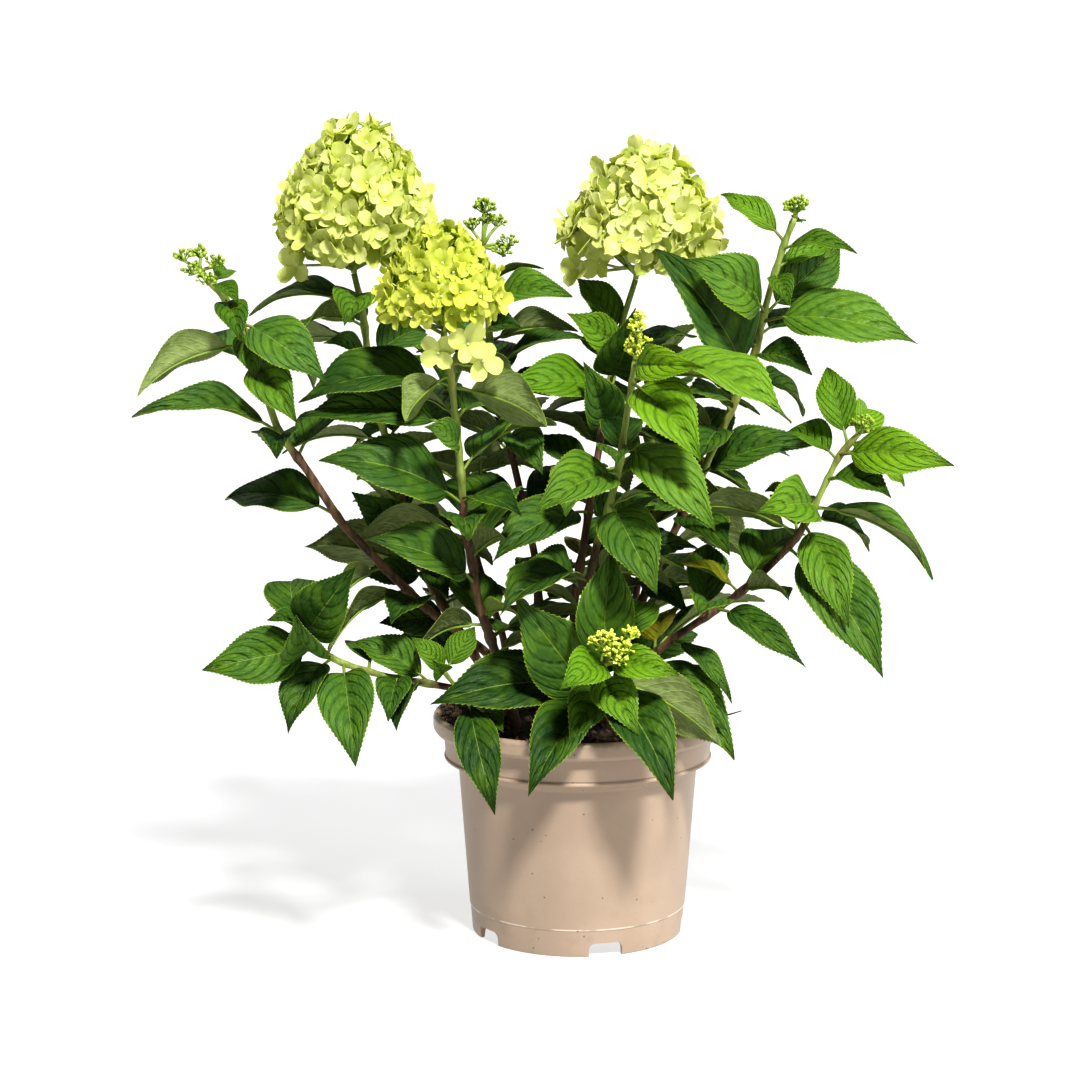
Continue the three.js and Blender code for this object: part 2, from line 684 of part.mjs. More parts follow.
function leafFrom(cane, height, turn, lift, length, tilt) {
  const base = atHeight(lineOf(cane), height);
  const level = Math.cos(degrees(lift)) * length;
  const tip = base.clone().add(vec(
    level * Math.cos(degrees(turn)), level * Math.sin(degrees(turn)),
    Math.sin(degrees(lift)) * length,
  ));
  return { cane: cane.name, base, tip, tilt };
}

// Leaves of the hidden side: a joint's leaves stand evenly round the cane, mostly behind.
function spareLeaves(cane) {
  const leaves = [];
  for (const [height, count] of cane.spare) {
    const start = between(60, 120);
    for (let i = 0; i < count; i += 1) {
      const spread = count > 3 ? 360 / count : 50;
      const turn = start + spread * (i - (count - 1) / 2);
      const lift = between(-15, 25);
      const length = between(68, 92);
      const leaf = leafFrom(cane, height, turn, lift, length, between(-30, 15));
      leaves.push({ ...leaf, spare: true });
    }
  }
  return leaves;
}

function placeLeaves() {
  CANES.forEach(markCane);
  HEADS.forEach((head) => {
    head.axis = headAxis(head);
  });
  const placed = [];
  for (const cane of CANES) {
    for (const [height, turn, lift, length, tilt] of cane.leaves) {
      settle(leafFrom(cane, height, turn, lift, length, tilt), placed);
    }
  }
  for (const cane of CANES) {
    for (const leaf of spareLeaves(cane)) settle(leaf, placed);
  }
  return placed;
}

// A short stub that carries on from a cane's tip, a small gap above it.
function stubOn(cane, reach) {
  const line = lineOf(cane);
  const tip = line[line.length - 1];
  const direction = directionAt(line, line.length - 1);
  const foot = tip.clone().addScaledVector(direction, GAP);
  const end = tip.clone().addScaledVector(direction, reach);
  return loft([
    ringRound(foot, direction, tipRadius(cane), CANE_SIDES),
    ringRound(end, direction, tipRadius(cane) * 0.8, CANE_SIDES),
  ]);
}

// A floret: four lobes round a dimpled middle, on a cone whose point is sunk in the head.
function floretSolid(centre, out, radius, spin) {
  const [a, b] = crossAxes(out);
  const place = (turn, r, rise) => centre.clone()
    .addScaledVector(a, r * Math.cos(turn))
    .addScaledVector(b, r * Math.sin(turn))
    .addScaledVector(out, rise);
  const rim = [];
  for (let lobe = 0; lobe < 4; lobe += 1) {
    const turn = spin + (lobe * Math.PI) / 2;
    rim.push(place(turn, radius, 0));
    rim.push(place(turn + Math.PI / 4, 0.66 * radius, 0.08 * radius));
  }
  return loft([[place(0, 0, -0.6 * radius)], rim, [place(0, 0, -0.1 * radius)]]);
}

// Shares of a head's height that part its surface evenly.
function evenShares(count) {
  const steps = 240;
  const girths = Array.from({ length: steps }, (_, i) => headShape((i + 0.5) / steps));
  const whole = girths.reduce((sum, girth) => sum + girth, 0);
  const shares = [];
  let passed = 0;
  girths.forEach((girth, i) => {
    passed += girth;
    if (passed / whole >= (shares.length + 0.5) / count) shares.push((i + 0.5) / steps);
  });
  return shares;
}

function makeHead(head) {
  const { foot, height, direction } = head.axis;
  const [a, b] = crossAxes(direction);
  const surface = (share, turn, scale) => foot.clone()
    .addScaledVector(direction, share * height)
    .addScaledVector(a, scale * headShape(share) * Math.cos(turn))
    .addScaledVector(b, scale * headShape(share) * Math.sin(turn));
  const core = loft([
    [foot.clone().addScaledVector(direction, 1)],
    ...[0.12, 0.35, 0.65, 0.88].map((share) =>
      Array.from({ length: 8 }, (_, i) =>
        surface(share, (i * Math.PI) / 4, CORE_SHARE * head.radius))),
    [foot.clone().addScaledVector(direction, 0.95 * height)],
  ]);
  const cane = CANES.find((each) => each.name === head.cane);
  const solids = [core, stubOn(cane, 0.3 * height)];
  evenShares(head.florets).forEach((share, i) => {
    const turn = degrees(HEAD_TURN * i) + between(-0.2, 0.2);
    const centre = surface(share, turn, head.radius * between(0.94, 1.06));
    const heart = foot.clone().addScaledVector(direction, (0.25 + 0.5 * share) * height);
    const out = centre.clone().sub(heart).normalize();
    solids.push(floretSolid(centre, out, FLORET_RADIUS * between(0.9, 1.08), between(0, 1.6)));
  });
  for (const stray of head.strays) {
    const centre = foot.clone().add(vec(...stray));
    const fork = foot.clone().addScaledVector(direction, 0.14 * height);
    const run = centre.clone().sub(fork).normalize();
    solids.push(loft([
      ringRound(fork, run, BRANCH_RADIUS, 3), ringRound(centre, run, BRANCH_RADIUS, 3),
    ]));
    const out = vec(stray[0], stray[1] - FLORET_RADIUS, 0).normalize();
    solids.push(floretSolid(centre, out, STRAY_SHARE * FLORET_RADIUS, between(0, 1.6)));
  }
  return fuse(solids);
}

// A bud: an eight-sided grain.
function budSolid(centre, radius) {
  return solidOf(new THREE.OctahedronGeometry(radius).translate(centre.x, centre.y, centre.z));
}

function makePanicle(panicle) {
  const cane = CANES.find((each) => each.name === panicle.cane);
  const line = lineOf(cane);
  const tip = line[line.length - 1];
  const direction = directionAt(line, line.length - 1);
  const fork = tip.clone().addScaledVector(direction, 3);
  const solids = [stubOn(cane, 4)];
  for (const [x, y, z, radius] of panicle.clusters) {
    const centre = tip.clone().add(vec(x, y, z));
    const run = centre.clone().sub(fork).normalize();
    solids.push(loft([
      ringRound(fork, run, BRANCH_RADIUS, 4), ringRound(centre, run, BRANCH_RADIUS, 4),
    ]));
    solids.push(budSolid(centre, radius));
    for (let i = 0; i < CLUSTER_BUDS; i += 1) {
      const rise = 1 - (1.7 * (i + 0.5)) / CLUSTER_BUDS;
      const level = Math.sqrt(1 - rise * rise);
      const turn = degrees(HEAD_TURN * i);
      const out = vec(level * Math.cos(turn), level * Math.sin(turn), rise);
      const size = BUD_RADIUS * between(0.8, 1.1);
      solids.push(budSolid(centre.clone().addScaledVector(out, radius), size));
    }
  }
  return fuse(solids);
}

const plant = new THREE.Group();
const leaves = placeLeaves();
for (const cane of CANES) {
  const own = leaves.filter((leaf) => leaf.cane === cane.name);
  plant.add(meshOf(cane.name, fuse([stemSolid(cane), ...own.map(leafSolid)]), GREEN_CANE));
}
drawState = BLOOM_SEED;
for (const head of HEADS) plant.add(meshOf(head.name, makeHead(head), head.colour));
for (const panicle of PANICLES) {
  plant.add(meshOf(panicle.name, makePanicle(panicle), YOUNG_BUD));
}

const group = new THREE.Group();
group.add(meshOf("pot", makePot(), CLAY_PLASTIC));
group.add(meshOf("soil", makeSoil(), SOIL));
group.add(plant);

export default group;
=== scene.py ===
import math

import bpy
import numpy as np
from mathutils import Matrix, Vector


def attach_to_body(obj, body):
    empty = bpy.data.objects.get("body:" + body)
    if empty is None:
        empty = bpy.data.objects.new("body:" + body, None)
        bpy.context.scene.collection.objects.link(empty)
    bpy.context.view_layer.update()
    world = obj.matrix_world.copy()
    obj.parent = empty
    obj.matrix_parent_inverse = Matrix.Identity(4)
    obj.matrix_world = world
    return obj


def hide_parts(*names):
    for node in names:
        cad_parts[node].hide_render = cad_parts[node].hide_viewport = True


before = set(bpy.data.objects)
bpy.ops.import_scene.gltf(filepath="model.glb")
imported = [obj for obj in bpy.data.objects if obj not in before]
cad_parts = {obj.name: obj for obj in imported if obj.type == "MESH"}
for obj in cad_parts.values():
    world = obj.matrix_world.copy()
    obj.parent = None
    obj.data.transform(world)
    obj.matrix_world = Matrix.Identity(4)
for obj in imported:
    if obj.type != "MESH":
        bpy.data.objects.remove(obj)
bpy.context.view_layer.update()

MM = 0.001

# Sizes that the part's source has too.
POT_HEIGHT = 146
BASE_RADIUS = 69.5
LIP_RADIUS = 95
LIP_DEPTH = 11.5
BAND_RADIUS = 87
NECK_HEIGHT = 112
NECK_RADIUS = 78.5
WALL = 1.8
FLOOR_TOP = 8
FLOOR_BOTTOM = 6
PAD_RADIUS = 22
FOOT_STEP_HEIGHT = 17
FOOT_STEP = 0.5
NOTCHES = 5
NOTCH_WIDTH = 22
NOTCH_HEIGHT = 9
NOTCH_TURN = -75.4
SOIL_TOP = 139
SOIL_FOOT = 9.6
SOIL_RADIUS = 86.8
CANE_SINK = 30
COLLAR_HEIGHT = SOIL_TOP + 5
PETIOLE_SHARE = 0.16
BLADE_HALF_WIDTH = 0.31
BLADE_FOLD = 0.22
BLADE_ARCH = 0.13
BLADE_WAVE = 0.028
FLORET_RADIUS = 18.5
BUD_RADIUS = 3.4
STRAY_SHARE = 0.75
GAP = 0.3
LEAF_SPACE = 4.4
CANE_SPACE = 3.4
HEAD_SPACE = 5
POT_SPACE = 4
LEAF_SEED = 41

# Canes, in the order in which their leaves find their places. A leaf is (height on the cane,
# turn, lift, length, tilt), and a spare is (height, how many). The bark turns from brown to
# green at green_from, and young says how fresh the top leaves are, from 0 to 1. Where the
# picture shows a leaf's look, two more numbers give it: its own share of freshness, or below
# 0 how dark an old leaf is, and its share of the full width if it hangs half turned.
CANES = [
    {
        "name": "right_low_cane", "foot": (14, -12), "thick": 5.6, "green_from": 287, "young": 0.85,
        "path": [
            (30, -20, 172), (60, -30, 200), (79, -35, 214), (103, -40, 232), (120, -45, 249),
            (137, -50, 268), (147, -52, 287), (155, -54, 305), (163, -56, 323), (175, -58, 337),
        ],
        "leaves": [
            (221, -45, -20, 80, 45, -0.3, 0.58), (263, -50, -40, 110, 55, 0.1, 0.8),
            (278, -70, -40, 85, 70, 0.3, 0.76), (282, 35, -25, 60, 30),
            (289, 0, -30, 90, 10, 0.15, 0.68), (307, -50, -5, 55, 40, 0.3),
            (289, -125, 5, 70, 65, 0.5), (323, -35, 0, 80, 50, 0.75, 0.8),
            (329, 105, 50, 60, 80, 0.6, 0.85), (331, 60, 40, 40, 70, 0.85),
            (320, 125, 15, 50, 40, 0.6), (331, -65, -15, 30, 50), (326, 20, -30, 50, 40),
            (232, -55, 5, 50, -50), (180, -45, -20, 80, 45, 0.05, 0.8),
            (174, -40, -30, 100, 45, 0.1), (200, -50, -30, 65, 15, -0.4, 0.55),
            (215, 85, 45, 60, 80),
        ],
        "spare": [(190, 3), (235, 2), (270, 2)],
    },
    {
        "name": "front_low_shoot", "foot": (4, -46), "thick": 5, "green_from": 172, "young": 0.8,
        "path": [
            (9, -50, 162), (12, -62, 176), (13, -85, 190), (16, -104, 201), (18, -116, 208),
        ],
        "leaves": [
            (165, -145, 50, 95, 85, 0.05), (188, 60, 80, 80, 80, 0.2),
            (198, -120, -5, 55, 65, 0.75), (197, -40, -2, 60, 55, 0.7),
            (200, 60, 30, 55, 70, 0.3), (176, -110, -25, 60, 70, 0.25),
            (185, -65, -25, 60, 65, 0.45), (188, -20, -30, 92, -70, 0.1, 0.85),
            (180, -50, -40, 90, 35, -0.9, 0.8),
        ],
        "spare": [],
    },
    {
        "name": "left_cane", "foot": (-42, -5), "thick": 6.6, "green_from": 330, "young": 0.35,
        "path": [
            (-58, -8, 186), (-96, -15, 215), (-125, -25, 246), (-151, -35, 276),
            (-172, -45, 312), (-189, -50, 336), (-210, -55, 403), (-223, -58, 425),
            (-233, -60, 436),
        ],
        "leaves": [
            (392, -150, -20, 80, -50, None, 0.88), (336, -150, 10, 100, 35, -0.4, 0.62),
            (420, -70, -30, 45, 50), (430, -50, -20, 30, 40), (430, 75, 30, 28, 60),
            (405, -35, -25, 75, 45, 0.05), (402, -80, -20, 60, 60),
            (383, -60, -30, 70, 60, 0.4), (332, -90, -5, 50, 60), (392, 45, -30, 65, 30),
            (281, 155, 5, 85, 30, -0.5), (246, -120, -25, 70, -50), (230, -135, -25, 75, -40),
        ],
        "spare": [(250, 2), (320, 2), (375, 2)],
    },
    {
        "name": "yellow_head_cane", "foot": (-40, -22), "thick": 6.4, "green_from": 300, "young": 0.25,
        "path": [
            (-53, -24, 188), (-65, -35, 227), (-68, -40, 252), (-73, -45, 275), (-74, -50, 302),
            (-76, -57, 330), (-80, -63, 371), (-84, -66, 398),
        ],
        "leaves": [
            (339, 180, 5, 100, 40, 0.1, 0.7), (367, 160, -10, 105, 30, -0.5),
            (374, -120, -24, 58, -50), (366, -35, -15, 75, -50), (380, 40, -20, 60, -45),
            (326, -120, 25, 45, 60), (290, -160, 20, 100, 45), (267, 160, -5, 80, -40),
            (237, -150, 25, 85, 45), (254, -60, 25, 50, -50), (209, -135, -10, 65, -45),
        ],
        "spare": [(200, 3), (250, 2), (310, 2), (345, 2)],
    },
    {
        "name": "lime_head_cane", "foot": (-48, 12), "thick": 6.6, "green_from": 305, "young": 0.25,
        "path": [
            (-71, 6, 188), (-96, 12, 226), (-111, 18, 268), (-123, 20, 311), (-136, 19, 370),
            (-140, 17, 410), (-145, 14, 432),
        ],
        "leaves": [
            (411, 165, -4, 80, 10), (397, -130, 5, 60, -40), (416, -100, -30, 40, 70),
            (397, 130, 10, 50, -30), (370, -125, 25, 50, 45), (275, -130, 35, 55, -50),
            (268, -120, 20, 75, 75), (236, -155, 15, 90, -45), (262, -50, -15, 55, 50),
            (208, -130, 0, 70, 55), (236, -70, -20, 50, 70),
        ],
        "spare": [(215, 2), (250, 2), (320, 3), (380, 2)],
    },
    {
        "name": "open_bud_cane", "foot": (-22, 24), "thick": 6, "green_from": 330, "young": 0.55,
        "path": [
            (-24, 34, 190), (-28, 42, 242), (-46, 50, 320), (-58, 46, 384), (-60, 42, 420),
            (-62, 38, 445),
        ],
        "leaves": [
            (324, -65, -20, 60, 50), (314, -110, -5, 55, -50), (407, -30, 10, 65, 45),
            (391, -60, 20, 45, 60), (384, 25, 5, 65, -45), (423, 15, 5, 40, 10),
            (438, -120, 20, 20, 60),
        ],
        "spare": [(210, 2), (260, 3), (330, 3)],
    },
    {
        "name": "right_head_cane", "foot": (-5, 5), "thick": 6.2, "green_from": 345, "young": 0.3,
        "path": [
            (-4, 7, 180), (-2, 10, 220), (4, 16, 255), (10, 23, 294), (17, 30, 333),
            (23, 36, 366), (29, 40, 398), (38, 44, 426),
        ],
        "leaves": [
            (386, 125, 45, 70, 45, 0.5), (376, -135, 35, 55, 60, 0.5),
            (353, -150, 5, 80, 45, 0.75), (275, -140, -15, 85, 35), (227, -125, 25, 60, 50),
            (275, -70, -15, 45, -50),
        ],
        "spare": [(200, 3), (240, 3), (300, 4), (365, 2)],
    },
    {
        "name": "front_bud_cane", "foot": (-2, -28), "thick": 6, "green_from": 272, "young": 0.65,
        "path": [
            (1, -33, 185), (4, -40, 228), (11, -55, 266), (18, -65, 289), (25, -75, 322),
            (29, -80, 353), (32, -83, 372), (34, -85, 386),
        ],
        "leaves": [
            (371, -55, -30, 80, 60, 0.8), (373, -30, -10, 110, 35, 0.55, 0.92),
            (382, -50, 5, 60, 60, 0.95, 0.62), (332, -45, -30, 90, 50, 0.25, 0.82),
            (313, -130, -10, 80, 55, 0.3), (293, -65, -35, 80, 60, 0.1),
            (169, -160, 0, 100, 35, -0.9, 0.85),
        ],
        "spare": [(240, 4), (270, 2)],
    },
    {
        "name": "right_high_cane", "foot": (22, 14), "thick": 6, "green_from": 290, "young": 0.85,
        "path": [
            (30, 17, 182), (41, 20, 213), (74, 35, 281), (106, 30, 353), (117, 25, 383),
            (119, 22, 398), (125, 18, 424), (132, 15, 449), (139, 12, 468),
        ],
        "leaves": [
            (362, -146, 50, 114, 35, -0.6), (328, -110, -15, 55, 30),
            (296, -30, 20, 90, 45, -0.1, 0.75), (268, -65, -10, 70, 40),
            (271, 40, -30, 75, -50), (223, -55, -10, 45, 50), (216, 40, 5, 55, -50),
            (406, -150, 25, 70, 45, 0.15), (452, 140, 30, 60, 50, 0.6, 0.65),
            (464, -70, 20, 25, 60), (447, -35, 0, 55, 40, 0.35, 0.65),
            (435, 30, 15, 45, 50, None, 0.75), (403, 35, 35, 80, 70), (431, -75, -30, 35, 60),
            (400, -20, -5, 105, 45, 0.2, 0.88), (391, 40, 5, 60, 20), (383, -125, 20, 35, 40),
            (378, -45, -10, 50, 50), (365, 35, -30, 60, 30),
        ],
        "spare": [(200, 3), (245, 4), (300, 3), (345, 2)],
    },
    {
        "name": "left_low_shoot", "foot": (-52, -32), "thick": 5.2, "green_from": 180, "young": 0.1,
        "path": [
            (-70, -40, 168), (-95, -50, 175), (-123, -60, 182), (-151, -70, 193),
            (-168, -75, 205), (-177, -78, 215),
        ],
        "leaves": [
            (209, -50, 45, 75, 70, 0.1), (212, 100, 20, 70, 60), (205, -95, 40, 60, 80),
            (213, -110, 25, 55, 60), (203, -140, -5, 90, 55), (201, -120, 10, 55, 50),
            (192, -80, -40, 80, 80, 0.0), (196, -120, -30, 60, 20, -0.5),
            (180, -95, -20, 50, 40), (175, -145, 30, 70, 60), (176, -110, -25, 50, -50, -0.5),
        ],
        "spare": [(186, 2), (206, 1)],
    },
    {
        "name": "left_young_shoot", "foot": (-55, -43), "thick": 4, "green_from": 155, "young": 0.35,
        "path": [(-58, -46, 152), (-67, -54, 165), (-78, -65, 176), (-86, -74, 189)],
        "leaves": [
            (170, -70, -45, 80, 70, -0.9, 0.66), (186, 150, 35, 30, 50), (187, 30, 40, 28, 60),
            (188, -110, 50, 26, 60),
        ],
        "spare": [],
    },
    {
        "name": "back_left_cane", "foot": (-42, 38), "thick": 5.6, "green_from": 260, "young": 0.3,
        "path": [
            (-50, 50, 188), (-66, 70, 230), (-78, 88, 275), (-84, 98, 315), (-86, 103, 338),
        ],
        "leaves": [(336, 40, 50, 60, -30), (337, 160, 50, 62, -20)],
        "spare": [(205, 4), (245, 4), (285, 4), (325, 4)],
    },
    {
        "name": "back_right_cane", "foot": (30, 38), "thick": 5.6, "green_from": 270, "young": 0.3,
        "path": [(36, 50, 188), (44, 70, 236), (50, 88, 290), (53, 98, 330), (54, 102, 350)],
        "leaves": [(348, 30, 50, 60, -30), (349, 150, 50, 62, -20)],
        "spare": [(205, 4), (250, 4), (295, 4), (335, 4)],
    },
]

# Flower heads. top, radius and strays are the part's. The rest is how the scene makes one:
# its layers of florets as (share of the radius, how many, how lit), the florets' size, the
# shaded core's share of the radius and where it starts.
HEADS = [
    {
        "name": "lime_flower_head", "cane": "lime_head_cane", "top": (-141, 12, 531),
        "radius": 51, "strays": [(-36, -12, 6)],
        "layers": ((0.87, 172, 1.0), (0.7, 56, 0.35)), "size": 1.0, "core": 0.55,
        "from": 0.15, "petals": "lime", "slot": "lime_petals",
    },
    {
        "name": "yellow_flower_head", "cane": "yellow_head_cane", "top": (-87, -67, 468),
        "radius": 43, "strays": [(-3, -20, -8), (15, -24, -2), (24, -18, -13)],
        "layers": ((0.8, 128, 1.0), (0.6, 36, 0.35)), "size": 0.76, "core": 0.4,
        "from": 0.2, "petals": "green", "slot": "green_petals",
    },
    {
        "name": "right_flower_head", "cane": "right_head_cane", "top": (49, 46, 512),
        "radius": 53, "strays": [(-38, -8, 8), (-24, -14, 12)],
        "layers": ((0.83, 140, 1.0), (0.66, 50, 0.35)), "size": 1.07, "core": 0.52,
        "from": 0.2, "petals": "pale", "slot": "lime_petals",
    },
]

# Bud panicles. clusters are the part's, and sprays are what the scene shows instead.
PANICLES = [
    {
        "name": "left_bud_panicle", "cane": "left_cane",
        "clusters": [(-3, 0, 13, 7), (-13, -5, 5, 6), (11, 0, 6, 6)],
        "sprays": [
            (-2, 0, 14, 4.2), (-15, -3, 11, 4.4), (-9, -5, 0, 3.8), (10, -2, 6, 4.4),
            (3, -6, -6, 3.4),
        ],
    },
    {
        "name": "open_bud_panicle", "cane": "open_bud_cane",
        "clusters": [(1, 0, 28, 8), (-9, -2, 14, 6), (11, 2, 17, 6), (20, 0, 1, 5)],
        "sprays": [
            (1, 0, 30, 6), (-9, -2, 17, 4), (11, 2, 19, 4.2), (3, 0, 21, 4), (20, 0, 4, 4.2),
            (15, -2, -3, 3.8),
        ],
    },
    {
        "name": "front_bud_panicle", "cane": "front_bud_cane",
        "clusters": [(2, -3, 14, 8), (-8, -4, 7, 6), (11, -2, 8, 6)],
        "sprays": [(0, -3, 5, 6), (1, -3, 13, 5.5), (1, -3, 20, 4.5), (2, -3, 26, 3)],
    },
    {
        "name": "right_bud_panicle", "cane": "right_high_cane",
        "clusters": [(3, 0, 9, 7), (-4, -3, 5, 5)],
    },
    {
        "name": "right_low_bud_panicle", "cane": "right_low_cane",
        "clusters": [(6, -2, 5, 6)],
    },
    {
        "name": "front_low_bud_panicle", "cane": "front_low_shoot",
        "clusters": [(-5, -4, 7, 7), (6, -3, 4, 7)],
        "sprays": [
            (-9, -4, 9, 5.5), (-2, -5, 12, 4.5), (0, -6, 2, 6), (6, -7, -6, 5),
            (12, -4, 3, 4.5), (15, -3, 12, 4),
        ],
    },
]

# Small leaves inside the shrub that only the scene has: where they end, seen from above
# and in height.
INFILL_SEED = 57
INFILL_REACH = 140
INFILL_TOP = 400

# Larger leaves that only the scene has, over the pot's rim and in front of a bare cane:
# the cane, and then as in CANES.
SCENE_LEAVES = [
    ("front_low_shoot", 164, -125, -25, 80, 50, -0.8, 0.8),
    ("left_young_shoot", 156, -78, -5, 62, 50), ("right_head_cane", 362, -62, 60, 58, 82),
    ("right_head_cane", 330, -110, 52, 60, 78),
]

# The lights' strengths. The dome is white up to the first height over the horizon, and as
# dim as DOME_LIGHT from the second.
KEY_LIGHT = 4.9
SIDE_LIGHT = 1.7
BACK_LIGHT = 0.4
DOME_LIGHT = 0.07
DOME_FADE = (0.035, 0.1)
FLOOR_GLOW = 0.62
FLOOR_HALF = 40.0

# The camera, in metres and degrees, and its lens and film in millimetres.
CAMERA_PLACE = (-0.0248, -1.785, 0.549)
CAMERA_DOWN = 9.2
LENS = 92.57
FILM_WIDTH = 36

# Details that only the looks have.
PIECE_SEED = 20
SOIL_SEED = 7
USUAL_BLADE = 84
LONG_LEAF = 62
TEETH_DEPTH = 0.75
BLADE_SKIN = 0.45
VEIN_PAIRS = (5.4, 7.4)
VEIN_SWEEP = 0.28
VEIN_CURL = 0.17
QUILT = 1.2
PANELS_ALONG = 3.0
PANELS_ACROSS = 9.0
FLORET_LENGTH = 11.2
STRAY_LENGTH = 13.0
PETAL_WIDTH = 0.47
PETAL_SKIN = 0.35
HEAD_TURN = 137.5
CORE_RINGS = 18
CORE_SIDES = 28
STALK_LOOK = (1, 0.5, 0)
BRACT_VEINS = 5
GRAIN_RINGS = 4
GRAIN_SIDES = 6
POT_SIDES = 160
SHARP_CORNER = 32
RIPPLES = 14
CRUMBS = 620
CRUMB_REACH = 85.5
FIBRES = 210
FIBRE_REACH = 87.3
RIM_FIBRES = 150
RIM_CRUMBS = 420
TWIG = [(66, -20, 141), (80, -22, 145.2), (92, -23, 147.4), (99, -25, 149.6), (106, -24, 151.5)]
TWIG_RADII = [0.8, 0.75, 0.7, 0.55, 0.35]

# Heights of the pot's marks, in metres: the top of the dust round its foot, the soil's stain at its
# rim, the painted shadow line at the foot of its band, and the painted highlight along the edge of its
# lower step.
DUST_TOP = 0.05
STAIN = (0.138, 0.147)
BAND_SHADOW_HEIGHT = 0.1193
STEP_HIGHLIGHT_HEIGHT = 0.0182


def unit(v):
    """v, or each row of v, at length 1."""
    return v / np.linalg.norm(v, axis=-1, keepdims=True)


def vec(*numbers):
    return np.array(numbers, float)


def smooth(value, low, high):
    """0 below low, 1 above high, and a smooth step between."""
    t = np.clip((value - low) / (high - low), 0, 1)
    return t * t * (3 - 2 * t)


class Draws:
    """The part's generator of even draws from 0 to 1."""

    def __init__(self, seed):
        self.state = seed

    def draw(self):
        self.state = (self.state * 1664525 + 1013904223) % 4294967296
        return self.state / 4294967296

    def between(self, low, high):
        return low + (high - low) * self.draw()


# Where the leaves lie: the part's rule, step for step, so that they have its places.


def cane_named(name):
    return next(cane for cane in CANES if cane["name"] == name)


def line_of(cane):
    """A cane's points from its foot in the soil to its tip."""
    x, y = cane["foot"]
    return np.array([(x, y, SOIL_TOP - CANE_SINK), (x, y, COLLAR_HEIGHT), *cane["path"]], float)


def at_height(line, z):
    """The point of a line at a height."""
    k = max(1, int(np.argmax(line[:, 2] >= z)))
    share = (z - line[k - 1, 2]) / (line[k, 2] - line[k - 1, 2])
    return line[k - 1] + (line[k] - line[k - 1]) * share


class Curve:
    """A leaf's midrib, arched towards its top face."""

    def __init__(self, base, tip, tilt):
        chord = tip - base
        angle = math.radians(tilt)
        flat = np.cross(chord, (0, -math.sin(angle), math.cos(angle)))
        if np.linalg.norm(flat) < 0.3 * np.linalg.norm(chord):
            flat = np.cross(chord, (0, 0.6, 0.8))
        self.base, self.tip, self.side = base, tip, unit(flat)
        out = unit(np.cross(self.side, chord))
        bulge = 2 * BLADE_ARCH * np.linalg.norm(chord)
        self.middle = base + chord * 0.45 + out * bulge

    def at(self, share):
        """Points and the top face's directions at an array of shares."""
        s = np.asarray(share, float)[..., None]
        point = self.base * (1 - s) ** 2 + self.middle * 2 * s * (1 - s) + self.tip * s * s
        run = unit((self.middle - self.base) * (1 - s) + (self.tip - self.middle) * s)
        return point, unit(np.cross(self.side, run))


def blade_shape(share):
    """A blade's width at a share of its length, 1 at the widest."""
    s = np.clip(share, 0, 1)
    return np.maximum(np.sin(np.pi * s**0.8), 0) ** 0.85 * (1 - 0.12 * s)


SAMPLE_ROWS = (np.arange(14) + 0.3) / 14
SAMPLE_COLUMNS = 2 * np.arange(7) / 6 - 1
PETIOLE_MARKS = (0.07, 0.12)


def blade_samples(leaf):
    """Points all over a leaf, to measure its distance from others."""
    curve = Curve(leaf["base"], leaf["tip"], leaf["tilt"])
    blade = np.linalg.norm(leaf["tip"] - leaf["base"]) * (1 - PETIOLE_SHARE)
    half = (BLADE_HALF_WIDTH * blade * blade_shape(SAMPLE_ROWS))[:, None, None]
    point, normal = curve.at(PETIOLE_SHARE + (1 - PETIOLE_SHARE) * SAMPLE_ROWS)
    across = SAMPLE_COLUMNS[None, :, None]
    rise = np.abs(across) * BLADE_FOLD * half
    grid = point[:, None] + curve.side * across * half + normal[:, None] * rise
    return np.concatenate([curve.at(PETIOLE_MARKS)[0], grid.reshape(-1, 3)])


def head_shape(share):
    """A head's radius at a share of its height, 1 at the widest."""
    s = np.clip(share, 0, 1)
    return np.maximum(np.sin(np.pi * s**0.66), 0) ** 0.8


def inside_head(head, points):
    """Which points lie in a head or close round it."""
    offset = points - head["foot"]
    rise = offset @ head["direction"]
    share = np.clip(rise / head["height"], 0.03, 0.97)
    away = np.linalg.norm(offset - rise[:, None] * head["direction"], axis=1)
    level = (rise >= -HEAD_SPACE) & (rise <= head["height"] + HEAD_SPACE)
    return level & (away < head["radius"] * head_shape(share) + HEAD_SPACE)


def distances(a, b):
    return np.linalg.norm(a[:, None] - b[None], axis=2)


def is_clear(leaf, placed):
    """Whether a leaf is clear of the pot, heads, buds, canes and leaves placed so far."""
    samples = blade_samples(leaf)
    middle = samples[len(samples) // 2]
    reach = np.linalg.norm(leaf["tip"] - leaf["base"])
    low = samples[:, 2] < POT_HEIGHT + POT_SPACE
    if np.any(low & (np.hypot(samples[:, 0], samples[:, 1]) < LIP_RADIUS + POT_SPACE)):
        return False
    if any(inside_head(head, samples).any() for head in HEADS):
        return False
    for cane in CANES:
        own = cane["name"] == leaf["cane"]
        points, spaces = cane["bud_marks"] if own else cane["marks"]
        near = np.linalg.norm(points - middle, axis=1) <= reach + spaces
        if near.any() and (distances(samples, points[near]) < spaces[near]).any():
            return False
    for other in placed:
        apart = np.linalg.norm(other["middle"] - middle)
        if apart > reach / 2 + other["reach"] / 2 + LEAF_SPACE + 20:
            continue
        skip = len(PETIOLE_MARKS) + 2 * len(SAMPLE_COLUMNS) if other["cane"] == leaf["cane"] else 0
        if (distances(samples[skip:], other["samples"][skip:]) < LEAF_SPACE).any():
            return False
    leaf.update(samples=samples, middle=middle, reach=reach)
    return True


